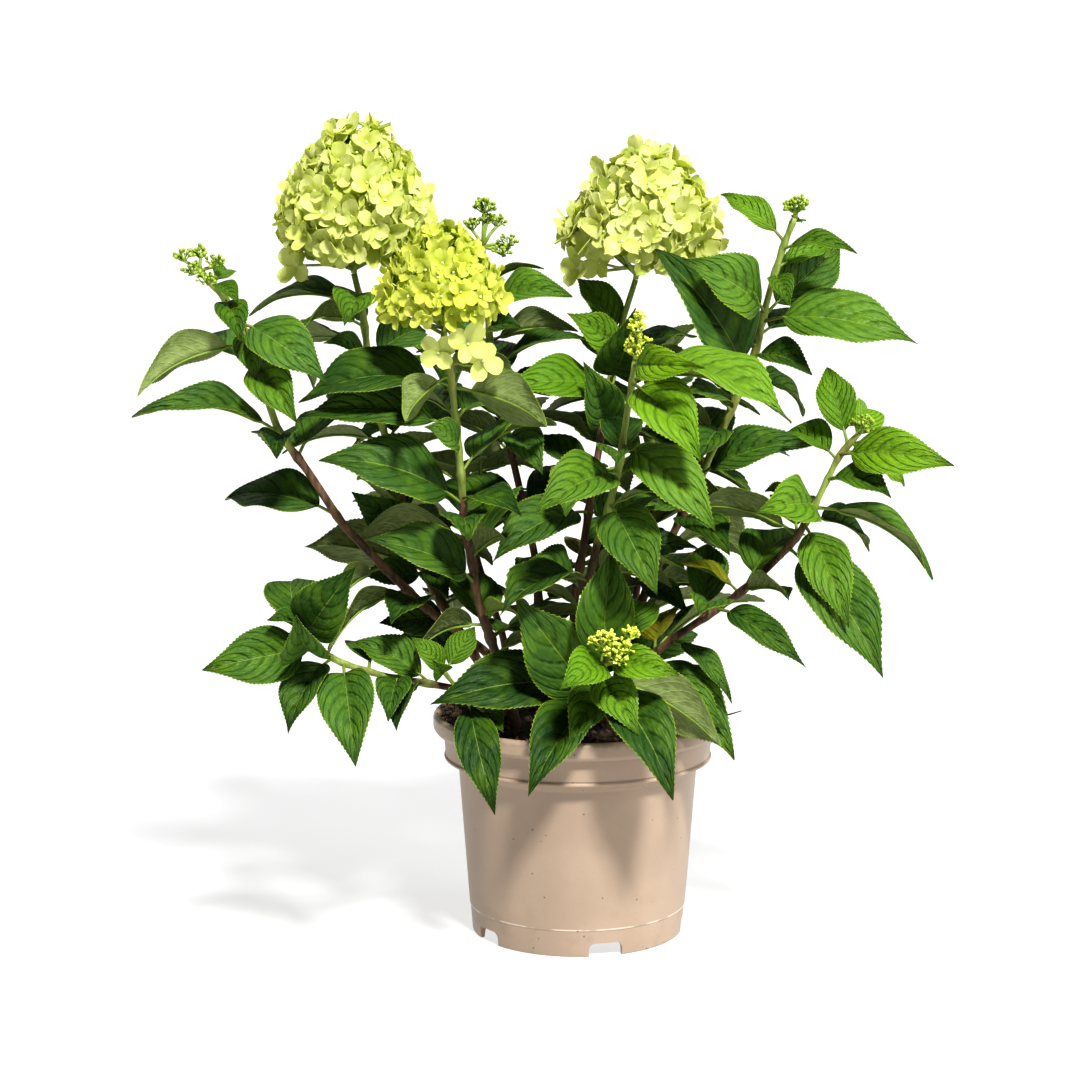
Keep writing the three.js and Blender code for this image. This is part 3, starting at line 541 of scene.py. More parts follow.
def mark_cane(cane):
    """Marks along a cane and round its buds, that other canes' leaves keep clear of."""
    line = line_of(cane)
    points, spaces = [], []
    for low, high in zip(line[:-1], line[1:]):
        steps = math.ceil(np.linalg.norm(high - low) / 5)
        for i in range(steps):
            points.append(low + (high - low) * i / steps)
            spaces.append(cane["thick"] / 2 + CANE_SPACE)
    buds, bud_spaces = [], []
    for panicle in PANICLES:
        if panicle["cane"] == cane["name"]:
            for *place, radius in panicle["clusters"]:
                buds.append(line[-1] + place)
                bud_spaces.append(radius + BUD_RADIUS + 1)
    for head in HEADS:
        if head["cane"] == cane["name"]:
            for stray in head["strays"]:
                buds.append(line[-1] + stray)
                bud_spaces.append(STRAY_SHARE * FLORET_RADIUS)
    cane["bud_marks"] = np.array(buds).reshape(-1, 3), np.array(bud_spaces)
    cane["marks"] = np.array(points + buds), np.array(spaces + bud_spaces)


DEPTH_MOVES = (0, -9, 9, -18, 18, -28, 28, -40, 40)
RISE_MOVES = (0, 8, -8)
TILT_MOVES = (0, 18, -18)


def settle(leaf, placed):
    """Bends and tilts a leaf until it is clear. One that finds no place is left off."""
    for depth in DEPTH_MOVES:
        for rise in RISE_MOVES:
            for tilt in TILT_MOVES:
                tip = leaf["tip"] + (0, depth, rise)
                bent = {**leaf, "tip": tip, "tilt": leaf["tilt"] + tilt}
                if is_clear(bent, placed):
                    placed.append(bent)
                    return


def leaf_from(cane, height, turn, lift, length, tilt, tone=None, slim=1, spare=False):
    base = at_height(line_of(cane), height)
    turn, lift = math.radians(turn), math.radians(lift)
    level = math.cos(lift) * length
    tip = base + (level * math.cos(turn), level * math.sin(turn), math.sin(lift) * length)
    return {"cane": cane["name"], "base": base, "tip": tip, "tilt": tilt, "tone": tone,
            "slim": slim, "spare": spare}


def spare_leaves(cane, draws):
    leaves = []
    for height, count in cane["spare"]:
        start = draws.between(60, 120)
        for i in range(count):
            spread = 360 / count if count > 3 else 50
            turn = start + spread * (i - (count - 1) / 2)
            lift = draws.between(-15, 25)
            length = draws.between(68, 92)
            tilt = draws.between(-30, 15)
            leaves.append(leaf_from(cane, height, turn, lift, length, tilt, spare=True))
    return leaves


def place_leaves():
    """The leaves of the part, in the places that its source gives them."""
    draws = Draws(LEAF_SEED)
    for cane in CANES:
        mark_cane(cane)
    for head in HEADS:
        foot = line_of(cane_named(head["cane"]))[-1]
        axis = np.array(head["top"]) - foot
        height = np.linalg.norm(axis)
        head.update(foot=foot, height=height, direction=axis / height)
    placed = []
    for cane in CANES:
        for leaf in cane["leaves"]:
            settle(leaf_from(cane, *leaf), placed)
    for cane in CANES:
        for leaf in spare_leaves(cane, draws):
            settle(leaf, placed)
    return placed


def add_infill(placed):
    """The scene's own larger leaves, and small ones inside the shrub, where they find room."""
    for name, *numbers in SCENE_LEAVES:
        settle(leaf_from(cane_named(name), *numbers), placed)
    draws = Draws(INFILL_SEED)
    for cane in CANES:
        line = line_of(cane)
        height = 165 + draws.between(0, 12)
        while height < min(line[-1, 2] - 50, INFILL_TOP):
            start = draws.between(0, 180)
            for turn in (start, start + 180):
                leaf = leaf_from(cane, height, turn, draws.between(0, 35), draws.between(44, 66),
                                 draws.between(-40, 60), spare=True)
                inside = np.hypot(leaf["tip"][0] + 10, leaf["tip"][1] - 5) < INFILL_REACH
                if inside and is_clear(leaf, placed):
                    placed.append(leaf)
            height += draws.between(12, 20)


# Meshes. Each point keeps two triples of numbers for the materials. On a leaf, place is
# across, along and the pairs of veins, and look is how fresh it is and two draws.


def rows_of(*parts):
    """Numbers or arrays, side by side as the last axis."""
    return np.stack(np.broadcast_arrays(*parts), -1)


class Shape:
    """Gathers points, faces and values for the materials, and makes one mesh of them."""

    def __init__(self):
        self.points, self.place, self.look, self.rims = [], [], [], []
        self.corners, self.sizes, self.slots = [], [], []
        self.count = 0

    def add(self, points, faces, slot, place, look, rims=None):
        """faces is a list of arrays of corners, and slot one material or one for each."""
        points = np.asarray(points, float).reshape(-1, 3)
        n = len(points)
        slots = [slot] * len(faces) if isinstance(slot, int) else slot
        for face, each in zip(faces, slots):
            self.corners.append((face + self.count).ravel())
            self.sizes.append(np.full(len(face), face.shape[1]))
            self.slots.append(np.full(len(face), each))
        self.points.append(points)
        self.place.append(np.broadcast_to(np.asarray(place, float).reshape(-1, 3), (n, 3)))
        self.look.append(np.broadcast_to(np.asarray(look, float).reshape(-1, 3), (n, 3)))
        self.rims.append(np.zeros(n, int) if rims is None else rims)
        self.count += n

    def build(self, name, materials):
        points = np.concatenate(self.points) * MM
        corners = np.concatenate(self.corners)
        sizes = np.concatenate(self.sizes)
        mesh = bpy.data.meshes.new(name)
        mesh.vertices.add(len(points))
        mesh.vertices.foreach_set("co", points.astype(np.float32).ravel())
        mesh.loops.add(len(corners))
        mesh.loops.foreach_set("vertex_index", corners.astype(np.int32))
        mesh.polygons.add(len(sizes))
        mesh.polygons.foreach_set("loop_start", (np.cumsum(sizes) - sizes).astype(np.int32))
        mesh.polygons.foreach_set("material_index", np.concatenate(self.slots).astype(np.int32))
        mesh.update(calc_edges=True)
        mesh.shade_smooth()
        for label, values in (("place", self.place), ("look", self.look)):
            layer = mesh.attributes.new(label, "FLOAT_VECTOR", "POINT")
            layer.data.foreach_set("vector", np.concatenate(values).astype(np.float32).ravel())
        rims = np.concatenate(self.rims)
        ends = np.empty(2 * len(mesh.edges), np.int32)
        mesh.edges.foreach_get("vertices", ends)
        ends = ends.reshape(-1, 2)
        sharp = (rims[ends[:, 0]] > 0) & (rims[ends[:, 0]] == rims[ends[:, 1]])
        layer = mesh.attributes.new("sharp_edge", "BOOLEAN", "EDGE")
        layer.data.foreach_set("value", sharp)
        for material in materials:
            mesh.materials.append(material)
        piece = bpy.data.objects.new(name, mesh)
        bpy.context.scene.collection.objects.link(piece)
        return piece


def add_sheet(shape, top, bottom, slots, place, look):
    """A closed sheet between two grids of points, both split along the same diagonals, so that
    a thin sheet never cuts itself. slots are the top's, the bottom's and the rim's."""
    rows, columns = top.shape[:2]
    n = rows * columns
    index = np.arange(n).reshape(rows, columns)
    a, b, c, d = index[:-1, :-1], index[:-1, 1:], index[1:, 1:], index[1:, :-1]
    over = np.stack([np.stack([a, b, c], -1), np.stack([a, c, d], -1)]).reshape(-1, 3)
    border = np.concatenate([index[0], index[1:, -1], index[-1, -2::-1], index[-2:0:-1, 0]])
    after = np.roll(border, -1)
    wall = np.stack([after, border, border + n, after + n], -1)
    rims = np.zeros(2 * n, int)
    rims[border] = 1
    rims[border + n] = 2
    points = np.concatenate([top.reshape(-1, 3), bottom.reshape(-1, 3)])
    both = np.concatenate([place.reshape(-1, 3)] * 2)
    shape.add(points, [over, over[:, ::-1] + n, wall], slots, both, look, rims)


def ring_frames(line):
    """Two directions square to a line at each of its points, that turn as little as they can."""
    run = unit(np.gradient(line, axis=0))
    guide = vec(0, 0, 1) if abs(run[0, 2]) < 0.9 else vec(1, 0, 0)
    first = []
    for direction in run:
        guide = unit(guide - direction * (guide @ direction))
        first.append(guide)
    first = np.array(first)
    return first, np.cross(run, first)


def add_rings(shape, rings, ends, slot, look=(0, 0, 0), place=(0, 0, 0)):
    """A closed body through rings of points, with a point in the middle of both its ends.
    look and place hold one row, or one for each ring."""
    n, sides = rings.shape[:2]
    index = np.arange(n * sides).reshape(n, sides)
    after = np.roll(index, -1, axis=1)
    walls = np.stack([index[:-1], after[:-1], after[1:], index[1:]], -1).reshape(-1, 4)
    caps = [rows_of(ring, np.roll(ring, -1), n * sides + k)
            for k, ring in enumerate((index[0][::-1], index[-1]))]

    def spread(values):
        values = np.broadcast_to(np.asarray(values, float).reshape(-1, 3), (n, 3))
        return np.concatenate([np.repeat(values, sides, axis=0), values[:1], values[-1:]])

    points = np.concatenate([rings.reshape(-1, 3), ends])
    shape.add(points, [walls, *caps], slot, spread(place), spread(look))


def add_tube(shape, line, radii, sides, slot, look, place=(0, 0, 0)):
    """A closed tube round a line of points."""
    line = np.asarray(line, float)
    a, b = ring_frames(line)
    turn = 2 * np.pi * np.arange(sides) / sides
    r = np.broadcast_to(np.asarray(radii, float), (len(line),))[:, None, None]
    rings = line[:, None] + r * (a[:, None] * np.cos(turn)[None, :, None]
                                 + b[:, None] * np.sin(turn)[None, :, None])
    add_rings(shape, rings, line[[0, -1]], slot, look, place)


def add_grain(shape, centre, axis, radius, stretch, slot, look):
    """A small round or long grain: a bead or a crumb."""
    heights = -np.cos(np.pi * np.arange(GRAIN_RINGS + 1) / GRAIN_RINGS)
    widths = np.sqrt(np.maximum(1 - heights**2, 0))
    line = centre + unit(axis) * (heights * radius * stretch)[:, None]
    inner = slice(1, GRAIN_RINGS)
    place = rows_of(0, (heights + 1) / 2, 0)[inner]
    add_tube(shape, line[inner], widths[inner] * radius, GRAIN_SIDES, slot, look, place)
    shape.points[-1][-2:] = line[0], line[-1]


# Leaves and canes. Their materials are, in order, the blade's top, its underside, the
# midrib with the petiole, and the bark.
TOP, UNDER, RIB, BARK = range(4)


def vein_sweep(along, across):
    """Where the side vein through a point starts at the midrib."""
    side = np.abs(across)
    return along - VEIN_SWEEP * side - VEIN_CURL * side**3


def add_leaf(shape, leaf, cane, rng):
    """A toothed, quilted blade with its rib below, and its petiole."""
    curve = Curve(leaf["base"], leaf["tip"], leaf["tilt"])
    length = np.linalg.norm(leaf["tip"] - leaf["base"])
    blade = length * (1 - PETIOLE_SHARE)
    size = blade / USUAL_BLADE
    if leaf["spare"]:
        rows, cells = 28, 8
    else:
        rows, cells = (60, 14) if length > LONG_LEAF else (42, 12)
    steps = cells // 2
    one_side = np.append(np.linspace(0, 0.93, steps), 1)
    across = np.concatenate([-one_side[:0:-1], one_side])[None, :]
    along = np.linspace(0, 1, rows + 1)[:, None]
    tooth = (np.arange(rows + 1) % 2)[:, None] * np.minimum(1, 6 * np.minimum(along, 1 - along))
    edge = np.abs(across) == 1
    half = BLADE_HALF_WIDTH * blade * blade_shape(along) * (1 - 0.4 * smooth(along, 0.58, 1))
    half = np.maximum(half * leaf["slim"], 0.9 - 0.75 * along)
    reach = along + edge * tooth * 0.45 / rows
    width = half + edge * tooth * TEETH_DEPTH * min(1, 0.4 + 0.6 * size)
    share = PETIOLE_SHARE + (1 - PETIOLE_SHARE) * reach
    point, normal = curve.at(share)
    side = np.abs(across)
    swing = rng.uniform(0.35, 1.0, 2) * rng.choice([-1, 1], 2, p=[0.25, 0.75])
    wave = BLADE_WAVE * blade * side**2 * np.sin(4 * np.pi * (along - 0.28))
    wave = wave * np.where(across < 0, swing[0], swing[1])
    pairs = rng.uniform(*VEIN_PAIRS)
    phase = pairs * vein_sweep(along, across)
    crease = np.abs(phase - np.floor(phase) - 0.5) * 2
    full = np.minimum(1, 6 * side) * (1 - side**6) * np.sin(np.pi * along) ** 0.5
    quilt = QUILT * size * (1 - crease**2.2) * full
    twist = rng.uniform(-0.12, 0.12) * across * half * along
    droop = -rng.uniform(0, 4.0) * size * smooth(along, 0.68, 1.0)
    bend = rng.uniform(-2.4, 2.4) * size * np.sin(np.pi * along)
    groove = -0.5 * np.exp(-((across / 0.05) ** 2)) * (1 - along)
    slope = rng.uniform(0.34, 0.62) if leaf["spare"] else rng.uniform(0.38, 0.86)
    fold = slope * (side - rng.uniform(0.3, 0.5) * side**2)
    rise = fold * half + wave + quilt + twist + droop + groove
    aside = across * width * (1 - 0.16 * slope * slope) + bend
    top = point + curve.side * aside[..., None] + normal * rise[..., None]
    skin = BLADE_SKIN * (1 - 0.4 * edge)
    bottom = top - normal * np.broadcast_to(skin, rise.shape)[..., None]
    height = leaf["base"][2]
    fresh = cane["young"] * smooth(height, cane["path"][-1][2] - 75, cane["path"][-1][2] - 5)
    if leaf["spare"]:
        fresh = 0.1 * fresh
    tone = leaf["tone"] if leaf["tone"] is not None else fresh + rng.uniform(-0.08, 0.08)
    faded = leaf["spare"] and height < 250 and rng.random() < 0.1
    fresh = 2 if faded else float(np.clip(tone, 0, 1))
    look = (fresh, rng.random() * (1 + min(0, tone)), rng.random())
    add_sheet(shape, top, bottom, (TOP, UNDER, TOP), rows_of(across, along, pairs), look)
    marks = along[: int(0.96 * rows) : 3, 0]
    stations = np.append(PETIOLE_SHARE * np.array([0, 0.35, 0.7]),
                         PETIOLE_SHARE + (1 - PETIOLE_SHARE) * marks)
    on_blade = np.append([0, 0, 0], marks)
    slim = min(1, 0.45 + 0.55 * length / 70)
    radii = np.interp(stations, [0, 0.05, 0.16, 1], [1.7, 1.15, 1.05, 0.28]) * slim
    middle, normal = curve.at(stations)
    sink = smooth(on_blade, 0, 0.06) * (0.22 + 0.5 * (1 - on_blade) + 0.9 * radii)
    lean = np.interp(on_blade, along[:, 0], bend[:, 0])
    slump = np.interp(on_blade, along[:, 0], droop[:, 0])
    line = middle + curve.side * lean[:, None] + normal * (slump - sink)[:, None]
    add_tube(shape, line, radii, 5, RIB, look, rows_of(0, stations, height))


def add_cane(shape, cane, leaves):
    """A cane, a little thicker where its leaves stand."""
    line = line_of(cane)
    spans = np.linalg.norm(np.diff(line, axis=0), axis=1)
    knots = np.concatenate([[0], np.cumsum(spans)])
    steps = int(knots[-1] / 3.5)
    marks = np.linspace(0, knots[-1], steps)
    path = np.stack([np.interp(marks, knots, line[:, k]) for k in range(3)], -1)
    for _ in range(3):
        path[1:-1] = (path[:-2] + 2 * path[1:-1] + path[2:]) / 4
    tapers = (cane["thick"] / 2) * (1 - 0.4 * np.arange(len(line)) / (len(line) - 1))
    radii = np.interp(marks, knots, tapers)
    for leaf in leaves:
        gap = np.linalg.norm(path - leaf["base"], axis=1)
        radii = radii + 0.55 * np.exp(-((gap / 3.2) ** 2))
    radii = np.minimum(radii, 1.35 * np.interp(marks, knots, tapers))
    green = smooth(path[:, 2], cane["green_from"] - 22, cane["green_from"] + 14)
    look = rows_of(green, cane["thick"] / 10, 0)
    add_tube(shape, path, radii, 12, BARK, look, rows_of(0, marks / 100, path[:, 2]))


# Blooms. Their materials are, in order, the petals, the bead in the middle, the stalks
# and the shaded core.
PETAL, BEAD, STALK, CORE = range(4)


def cross_axes(direction):
    """Two directions square to one another and to this one."""
    guide = vec(0, 0, 1) if abs(direction[2]) < 0.9 else vec(1, 0, 0)
    a = unit(np.cross(guide, direction))
    return a, np.cross(direction, a)


def add_petal(shape, centre, out, run, length, rise, look, rng):
    """A cupped petal that runs from the centre and rises towards out."""
    t = np.array([0, 0.28, 0.6, 0.87, 1])[:, None]
    u = np.linspace(-1, 1, 5)[None, :]
    roll = rng.normal(0, 0.24)
    sides = np.cross(run, out) * math.cos(roll) + out * math.sin(roll)
    bulge = np.where(t < 0.58, (0.58 - t) / 0.62, (t - 0.58) / 0.43)
    width = PETAL_WIDTH * length * np.sqrt(np.maximum(1 - np.abs(bulge) ** 2.3, 0.02))
    width = width * rng.uniform(0.88, 1.1)
    curl = rng.uniform(-0.9, 0.15) * rise
    cup = rng.uniform(0.12, 0.55)
    lift = length * (rise * t + curl * t * t) + cup * width * u * u
    lift = lift - 0.28 * np.exp(-((u / 0.22) ** 2)) * np.sin(np.pi * t)
    lift = lift + 0.35 * np.sin(5 * u + 7 * t + rng.uniform(0, 6)) * t
    peak = rng.uniform(-0.04, 0.13) * length
    ahead = length * (0.05 + 0.95 * t) + peak * np.exp(-((u / 0.38) ** 2)) * t**4
    top = (centre + run * np.broadcast_to(ahead, lift.shape)[..., None]
           + sides * (u * width)[..., None] + out * lift[..., None])
    add_sheet(shape, top, top - out * PETAL_SKIN, PETAL, rows_of(u, t, rng.random()), look)


def add_floret(shape, centre, out, length, look, rng, stalk=11.0):
    """Four petals in a cross, a bead and a stalk."""
    a, b = cross_axes(out)
    spin = rng.uniform(0, math.pi / 2)
    rise = rng.uniform(0.25, 0.95)
    for k in range(4):
        turn = spin + k * math.pi / 2 + rng.uniform(-0.13, 0.13)
        run = a * math.cos(turn) + b * math.sin(turn)
        step = 0.35 if k % 2 else 0.0
        size = length * rng.uniform(0.86, 1.06)
        add_petal(shape, centre + out * step, out, run, size, rise + rng.uniform(-0.2, 0.2),
                  look, rng)
    add_grain(shape, centre + out, out, rng.uniform(0.85, 1.15), 1.0, BEAD, look)
    line = [centre - out * stalk, centre - out * 0.3 * stalk, centre + out * 0.4]
    add_tube(shape, line, [0.55, 0.5, 0.6], 5, STALK, look)


def even_shares(count, start):
    """Shares of a head's height, above start, that part its surface evenly."""
    middles = start + (0.95 - start) * (np.arange(480) + 0.5) / 480
    passed = np.cumsum(head_shape(middles))
    wanted = (np.arange(count) + 0.5) / count
    return np.interp(wanted, passed / passed[-1], middles)


def make_head(head, rng):
    """Layers of florets round a shaded core, and stalks below."""
    shape = Shape()
    foot, height, direction = head["foot"], head["height"], head["direction"]
    a, b = cross_axes(direction)

    def surface(share, turn, scale):
        r = scale * head["radius"] * head_shape(share)
        return foot + direction * share * height + a * r * math.cos(turn) + b * r * math.sin(turn)

    low = head["from"]
    shares = np.linspace(low, 0.9, CORE_RINGS)
    core = [surface(s, 2 * math.pi * k / CORE_SIDES, head["core"] * rng.uniform(0.93, 1.07)
                    * math.sqrt(min(1, 0.05 + (s - low) / 0.3)))
            for s in shares for k in range(CORE_SIDES)]
    ends = [surface(shares[0], 0, 0), surface(shares[-1], 0, 0)]
    core = np.array(core).reshape(CORE_RINGS, CORE_SIDES, 3)
    # The core's colour is painted shade for the head's crowded inside.
    add_rings(shape, core, ends, CORE, (0.5, 0.5, 0.5))
    for depth, count, dim in head["layers"]:
        offset = rng.uniform(0, 6)
        for i, share in enumerate(even_shares(count, low)):
            turn = offset + math.radians(HEAD_TURN) * i + rng.uniform(-0.12, 0.12)
            centre = surface(share, turn, depth * rng.uniform(0.88, 1.08))
            heart = foot + direction * (0.28 + 0.56 * share) * height
            out = unit(unit(centre - heart) + rng.normal(0, 0.22, 3) + vec(0, 0, 0.25))
            length = FLORET_LENGTH * head["size"] * rng.uniform(0.82, 1.14)
            look = (dim, rng.random(), float(share))
            add_floret(shape, centre, out, length * (1.12 - 0.26 * share), look, rng)
    fork = foot + direction * 0.1 * height
    for stray in head["strays"]:
        centre = foot + np.array(stray, float)
        out = unit(vec(stray[0] * 0.5, stray[1] - FLORET_RADIUS, 4))
        line = [fork, (fork + centre) / 2 + (0, 0, -2), centre - out * 1.5]
        add_tube(shape, line, [1.3, 1.0, 0.8], 7, STALK, STALK_LOOK)
        add_floret(shape, centre, out, STRAY_LENGTH, (2, rng.random(), 1), rng, 2.0)
    cane = cane_named(head["cane"])
    radius = cane["thick"] / 2 * 0.6
    stem = [foot + direction * rise for rise in (GAP, 0.2 * height, 0.6 * height)]
    add_tube(shape, stem, [radius, radius * 0.8, radius * 0.5], 10, STALK, STALK_LOOK)
    for k in range(9):
        turn = 2 * math.pi * k / 9 + rng.uniform(-0.2, 0.2)
        start = foot + direction * height * rng.uniform(0.02, 0.1)
        end = surface(low + rng.uniform(0.04, 0.2), turn, 0.75)
        middle = (start + end) / 2 - direction * 2
        add_tube(shape, [start, middle, end], [1.3, 1.0, 0.8], 6, STALK, STALK_LOOK)
    return shape


# Bud panicles. Their materials are, in order, the buds, the stalks and the small leaves.
BUD, BUD_STALK, BRACT = range(3)


def add_bud(shape, foot, run, size, look):
    """A small bud, wider near its top, with its share of the height kept for the colour."""
    heights = vec(0, 0.25, 0.6, 0.85, 1)
    line = foot + run * (heights * size * 2.6)[:, None]
    radii = vec(0.3, 0.62, 0.95, 0.85, 0.4) * size
    add_tube(shape, line, radii, 6, BUD, look, rows_of(0, heights, 0))


def add_bract(shape, foot, run, out, length):
    """A small pointed leaf under a fork."""
    t = np.linspace(0, 1, 5)[:, None]
    u = np.array([-1, 0, 1.0])[None, :]
    width = 0.24 * length * np.sin(np.pi * (0.1 + 0.88 * t)) + 0.05
    lift = 0.25 * width * np.abs(u) - 0.12 * length * t * t
    side = np.cross(run, out)
    top = (foot + run * (t * length * np.ones_like(u))[..., None] + side * (u * width)[..., None]
           + out * lift[..., None])
    place = rows_of(u, t, BRACT_VEINS)
    add_sheet(shape, top, top - out * 0.3, BRACT, place, (0.7, 0.5, 0.5))


def make_panicle(panicle, rng):
    """Sprays of buds on branched stalks."""
    shape = Shape()
    cane = cane_named(panicle["cane"])
    line = line_of(cane)
    tip = line[-1]
    direction = unit(line[-1] - line[-2])
    radius = cane["thick"] / 2 * 0.6
    fork = tip + direction * 3
    bright = panicle["name"].startswith("front")
    stalk_look = (bright, 0.5, 0)
    add_tube(shape, [tip + direction * GAP, tip + direction * 2, fork + direction],
             [radius, radius * 0.9, radius * 0.6], 10, BUD_STALK, stalk_look)
    for *place, radius in panicle.get("sprays", panicle["clusters"]):
        centre = tip + np.array(place, float)
        spread = 1.25 * radius
        run = unit(centre - fork)
        hub = centre - run * spread * 0.7
        span = np.linalg.norm(hub - fork)
        middle = (fork + hub) / 2 + direction * 0.08 * span
        add_tube(shape, [fork, middle, hub, centre], [1.3, 1.1, 0.95, 0.6], 7, BUD_STALK,
                 stalk_look)
        count = int(1.5 * spread)
        for i in range(count):
            rise = 1 - 1.25 * (i + 0.5) / count
            level = math.sqrt(max(0, 1 - rise * rise))
            turn = math.radians(HEAD_TURN) * i + rng.uniform(-0.2, 0.2)
            out = unit(vec(level * math.cos(turn), level * math.sin(turn), rise + 0.25) + run * 0.3)
            elbow = hub + out * spread * rng.uniform(0.62, 0.85)
            add_tube(shape, [hub, (hub + elbow) / 2 + (0, 0, -0.4), elbow], [0.6, 0.5, 0.45], 5,
                     BUD_STALK, stalk_look)
            if i % 3 == 1:
                way = unit(out + cross_axes(out)[0])
                add_bract(shape, (hub + elbow) / 2, way, vec(0, 0, 1), rng.uniform(4, 7))
            for _ in range(4 if bright else 3):
                way = unit(out + rng.normal(0, 0.5, 3) + vec(0, 0, 0.45))
                foot = elbow + way * rng.uniform(0.8, 2.4)
                size = rng.uniform(0.75, 1.3) * (0.9 if bright else 1.05)
                add_tube(shape, [elbow, foot + way * 0.4], [0.42, 0.36], 5, BUD_STALK,
                         stalk_look)
                add_bud(shape, foot, way, size, (bright, rng.random(), 0))
    return shape


# The pot and the soil.


def body_radius(z):
    """The radius of the pot's tapered body at a height."""
    return BASE_RADIUS + (NECK_RADIUS - BASE_RADIUS) * z / NECK_HEIGHT


def pot_profile():
    """Corners of the pot's wall as (radius, height, rounding)."""
    foot = body_radius(FOOT_STEP_HEIGHT)
    return [
        (0, 0, 0), (PAD_RADIUS, 0, 0.6),
        (PAD_RADIUS + 2, FLOOR_BOTTOM, 0.8), (BASE_RADIUS - 4, FLOOR_BOTTOM, 0.6),
        (BASE_RADIUS - 3, 0, 0.5), (BASE_RADIUS, 0, 0.8),
        (foot, FOOT_STEP_HEIGHT, 0.2), (foot + FOOT_STEP, FOOT_STEP_HEIGHT + 1, 0.3),
        (NECK_RADIUS, NECK_HEIGHT, 2.0), (86, 116.2, 0.6), (BAND_RADIUS + 0.9, 116.9, 0.2),
        (BAND_RADIUS + 0.9, 118.1, 0.3), (BAND_RADIUS, 118.9, 0.3),
        (88.5, POT_HEIGHT - LIP_DEPTH, 1.0), (LIP_RADIUS - 1.5, POT_HEIGHT - LIP_DEPTH, 0.8),
        (LIP_RADIUS, 137, 0.7), (LIP_RADIUS, POT_HEIGHT - 2, 1.0), (93.4, POT_HEIGHT, 0.9),
        (90.5, POT_HEIGHT, 0.9), (86.7, POT_HEIGHT - LIP_DEPTH, 2.0), (85.2, 118.5, 1.0),
        (NECK_RADIUS - WALL, 113, 1.0), (BASE_RADIUS - WALL, FLOOR_TOP, 1.2), (0, FLOOR_TOP, 0),
    ]


def rounded(profile):
    """The profile with each corner turned into a short curve."""
    path = [np.array(profile[0][:2], float)]
    for before, corner, after in zip(profile[:-2], profile[1:-1], profile[2:]):
        c = np.array(corner[:2], float)
        back, ahead = np.array(before[:2]) - c, np.array(after[:2]) - c
        reach = min(corner[2], 0.4 * np.linalg.norm(back), 0.4 * np.linalg.norm(ahead))
        start, end = c + unit(back) * reach, c + unit(ahead) * reach
        for t in (0, 0.33, 0.67, 1):
            path.append(start * (1 - t) ** 2 + c * 2 * t * (1 - t) + end * t * t)
    path.append(np.array(profile[-1][:2], float))
    return np.array(path)


def lathe(shape, profile, sides, slot):
    """A closed body of revolution. The profile starts and ends on the axis."""
    turn = 2 * np.pi * np.arange(sides) / sides
    radius, height = profile[1:-1, :1], profile[1:-1, 1:]
    rings = rows_of(radius * np.cos(turn), radius * np.sin(turn), height)
    add_rings(shape, rings, [(0, 0, profile[0, 1]), (0, 0, profile[-1, 1])], slot)


def applied(piece):
    """Puts a piece's modifiers into its mesh."""
    depsgraph = bpy.context.evaluated_depsgraph_get()
    mesh = bpy.data.meshes.new_from_object(piece.evaluated_get(depsgraph), depsgraph=depsgraph)
    piece.modifiers.clear()
    piece.data = mesh


def notch_cutter():
    """Five blocks with rounded upper corners, for the foot's openings."""
    shape = Shape()
    half, round_ = NOTCH_WIDTH / 2, 4.0
    arc = np.linspace(0, np.pi / 2, 6)
    right = [(half - round_ + round_ * math.cos(t), NOTCH_HEIGHT - round_ + round_ * math.sin(t))
             for t in arc]
    outline = [(half, -NOTCH_HEIGHT), *right, *[(-y, z) for y, z in right[::-1]],
               (-half, -NOTCH_HEIGHT)]
    count = len(outline)
    for i in range(NOTCHES):
        turn = math.radians(NOTCH_TURN + i * 360 / NOTCHES)
        c, s = math.cos(turn), math.sin(turn)
        points = [(x * c - y * s, x * s + y * c, z)
                  for x in (BASE_RADIUS - 18, BASE_RADIUS + 6) for y, z in outline]
        index = np.arange(count)
        after = np.roll(index, -1)
        walls = np.stack([index, index + count, after + count, after], -1)
        ends = [index[None, :], index[None, ::-1] + count]
        faces = [part[:, ::-1] for part in (walls, *ends)]
        shape.add(points, faces, 0, (0, 0, 0), (0, 0, 0))
    return shape.build("notch_cutter", [])


def make_pot(materials):
    """The pot, turned from its profile, with notches in its foot."""
    shape = Shape()
    lathe(shape, rounded(pot_profile()), POT_SIDES, 0)
    pot = shape.build("nursery_pot", materials)
    cutter = notch_cutter()
    cut = pot.modifiers.new("notches", "BOOLEAN")
    cut.operation = "DIFFERENCE"
    cut.solver = "EXACT"
    cut.object = cutter
    applied(pot)
    bpy.data.objects.remove(cutter)
    pot.data.shade_smooth()
    pot.data.set_sharp_from_angle(angle=math.radians(SHARP_CORNER))
    return pot


def ripples(rng, x, y, scale):
    """A rough surface: a sum of waves that run in all directions."""
    total = np.zeros_like(x)
    for _ in range(RIPPLES):
        turn, length = rng.uniform(0, 2 * np.pi), scale * rng.uniform(0.35, 1.6)
        wave = np.sin((x * np.cos(turn) + y * np.sin(turn)) * 2 * np.pi / length
                      + rng.uniform(0, 6.3))
        total = total + wave * length / scale
    return total / RIPPLES


SOIL_SLOT, CRUMB_SLOT, TWIG_SLOT = range(3)


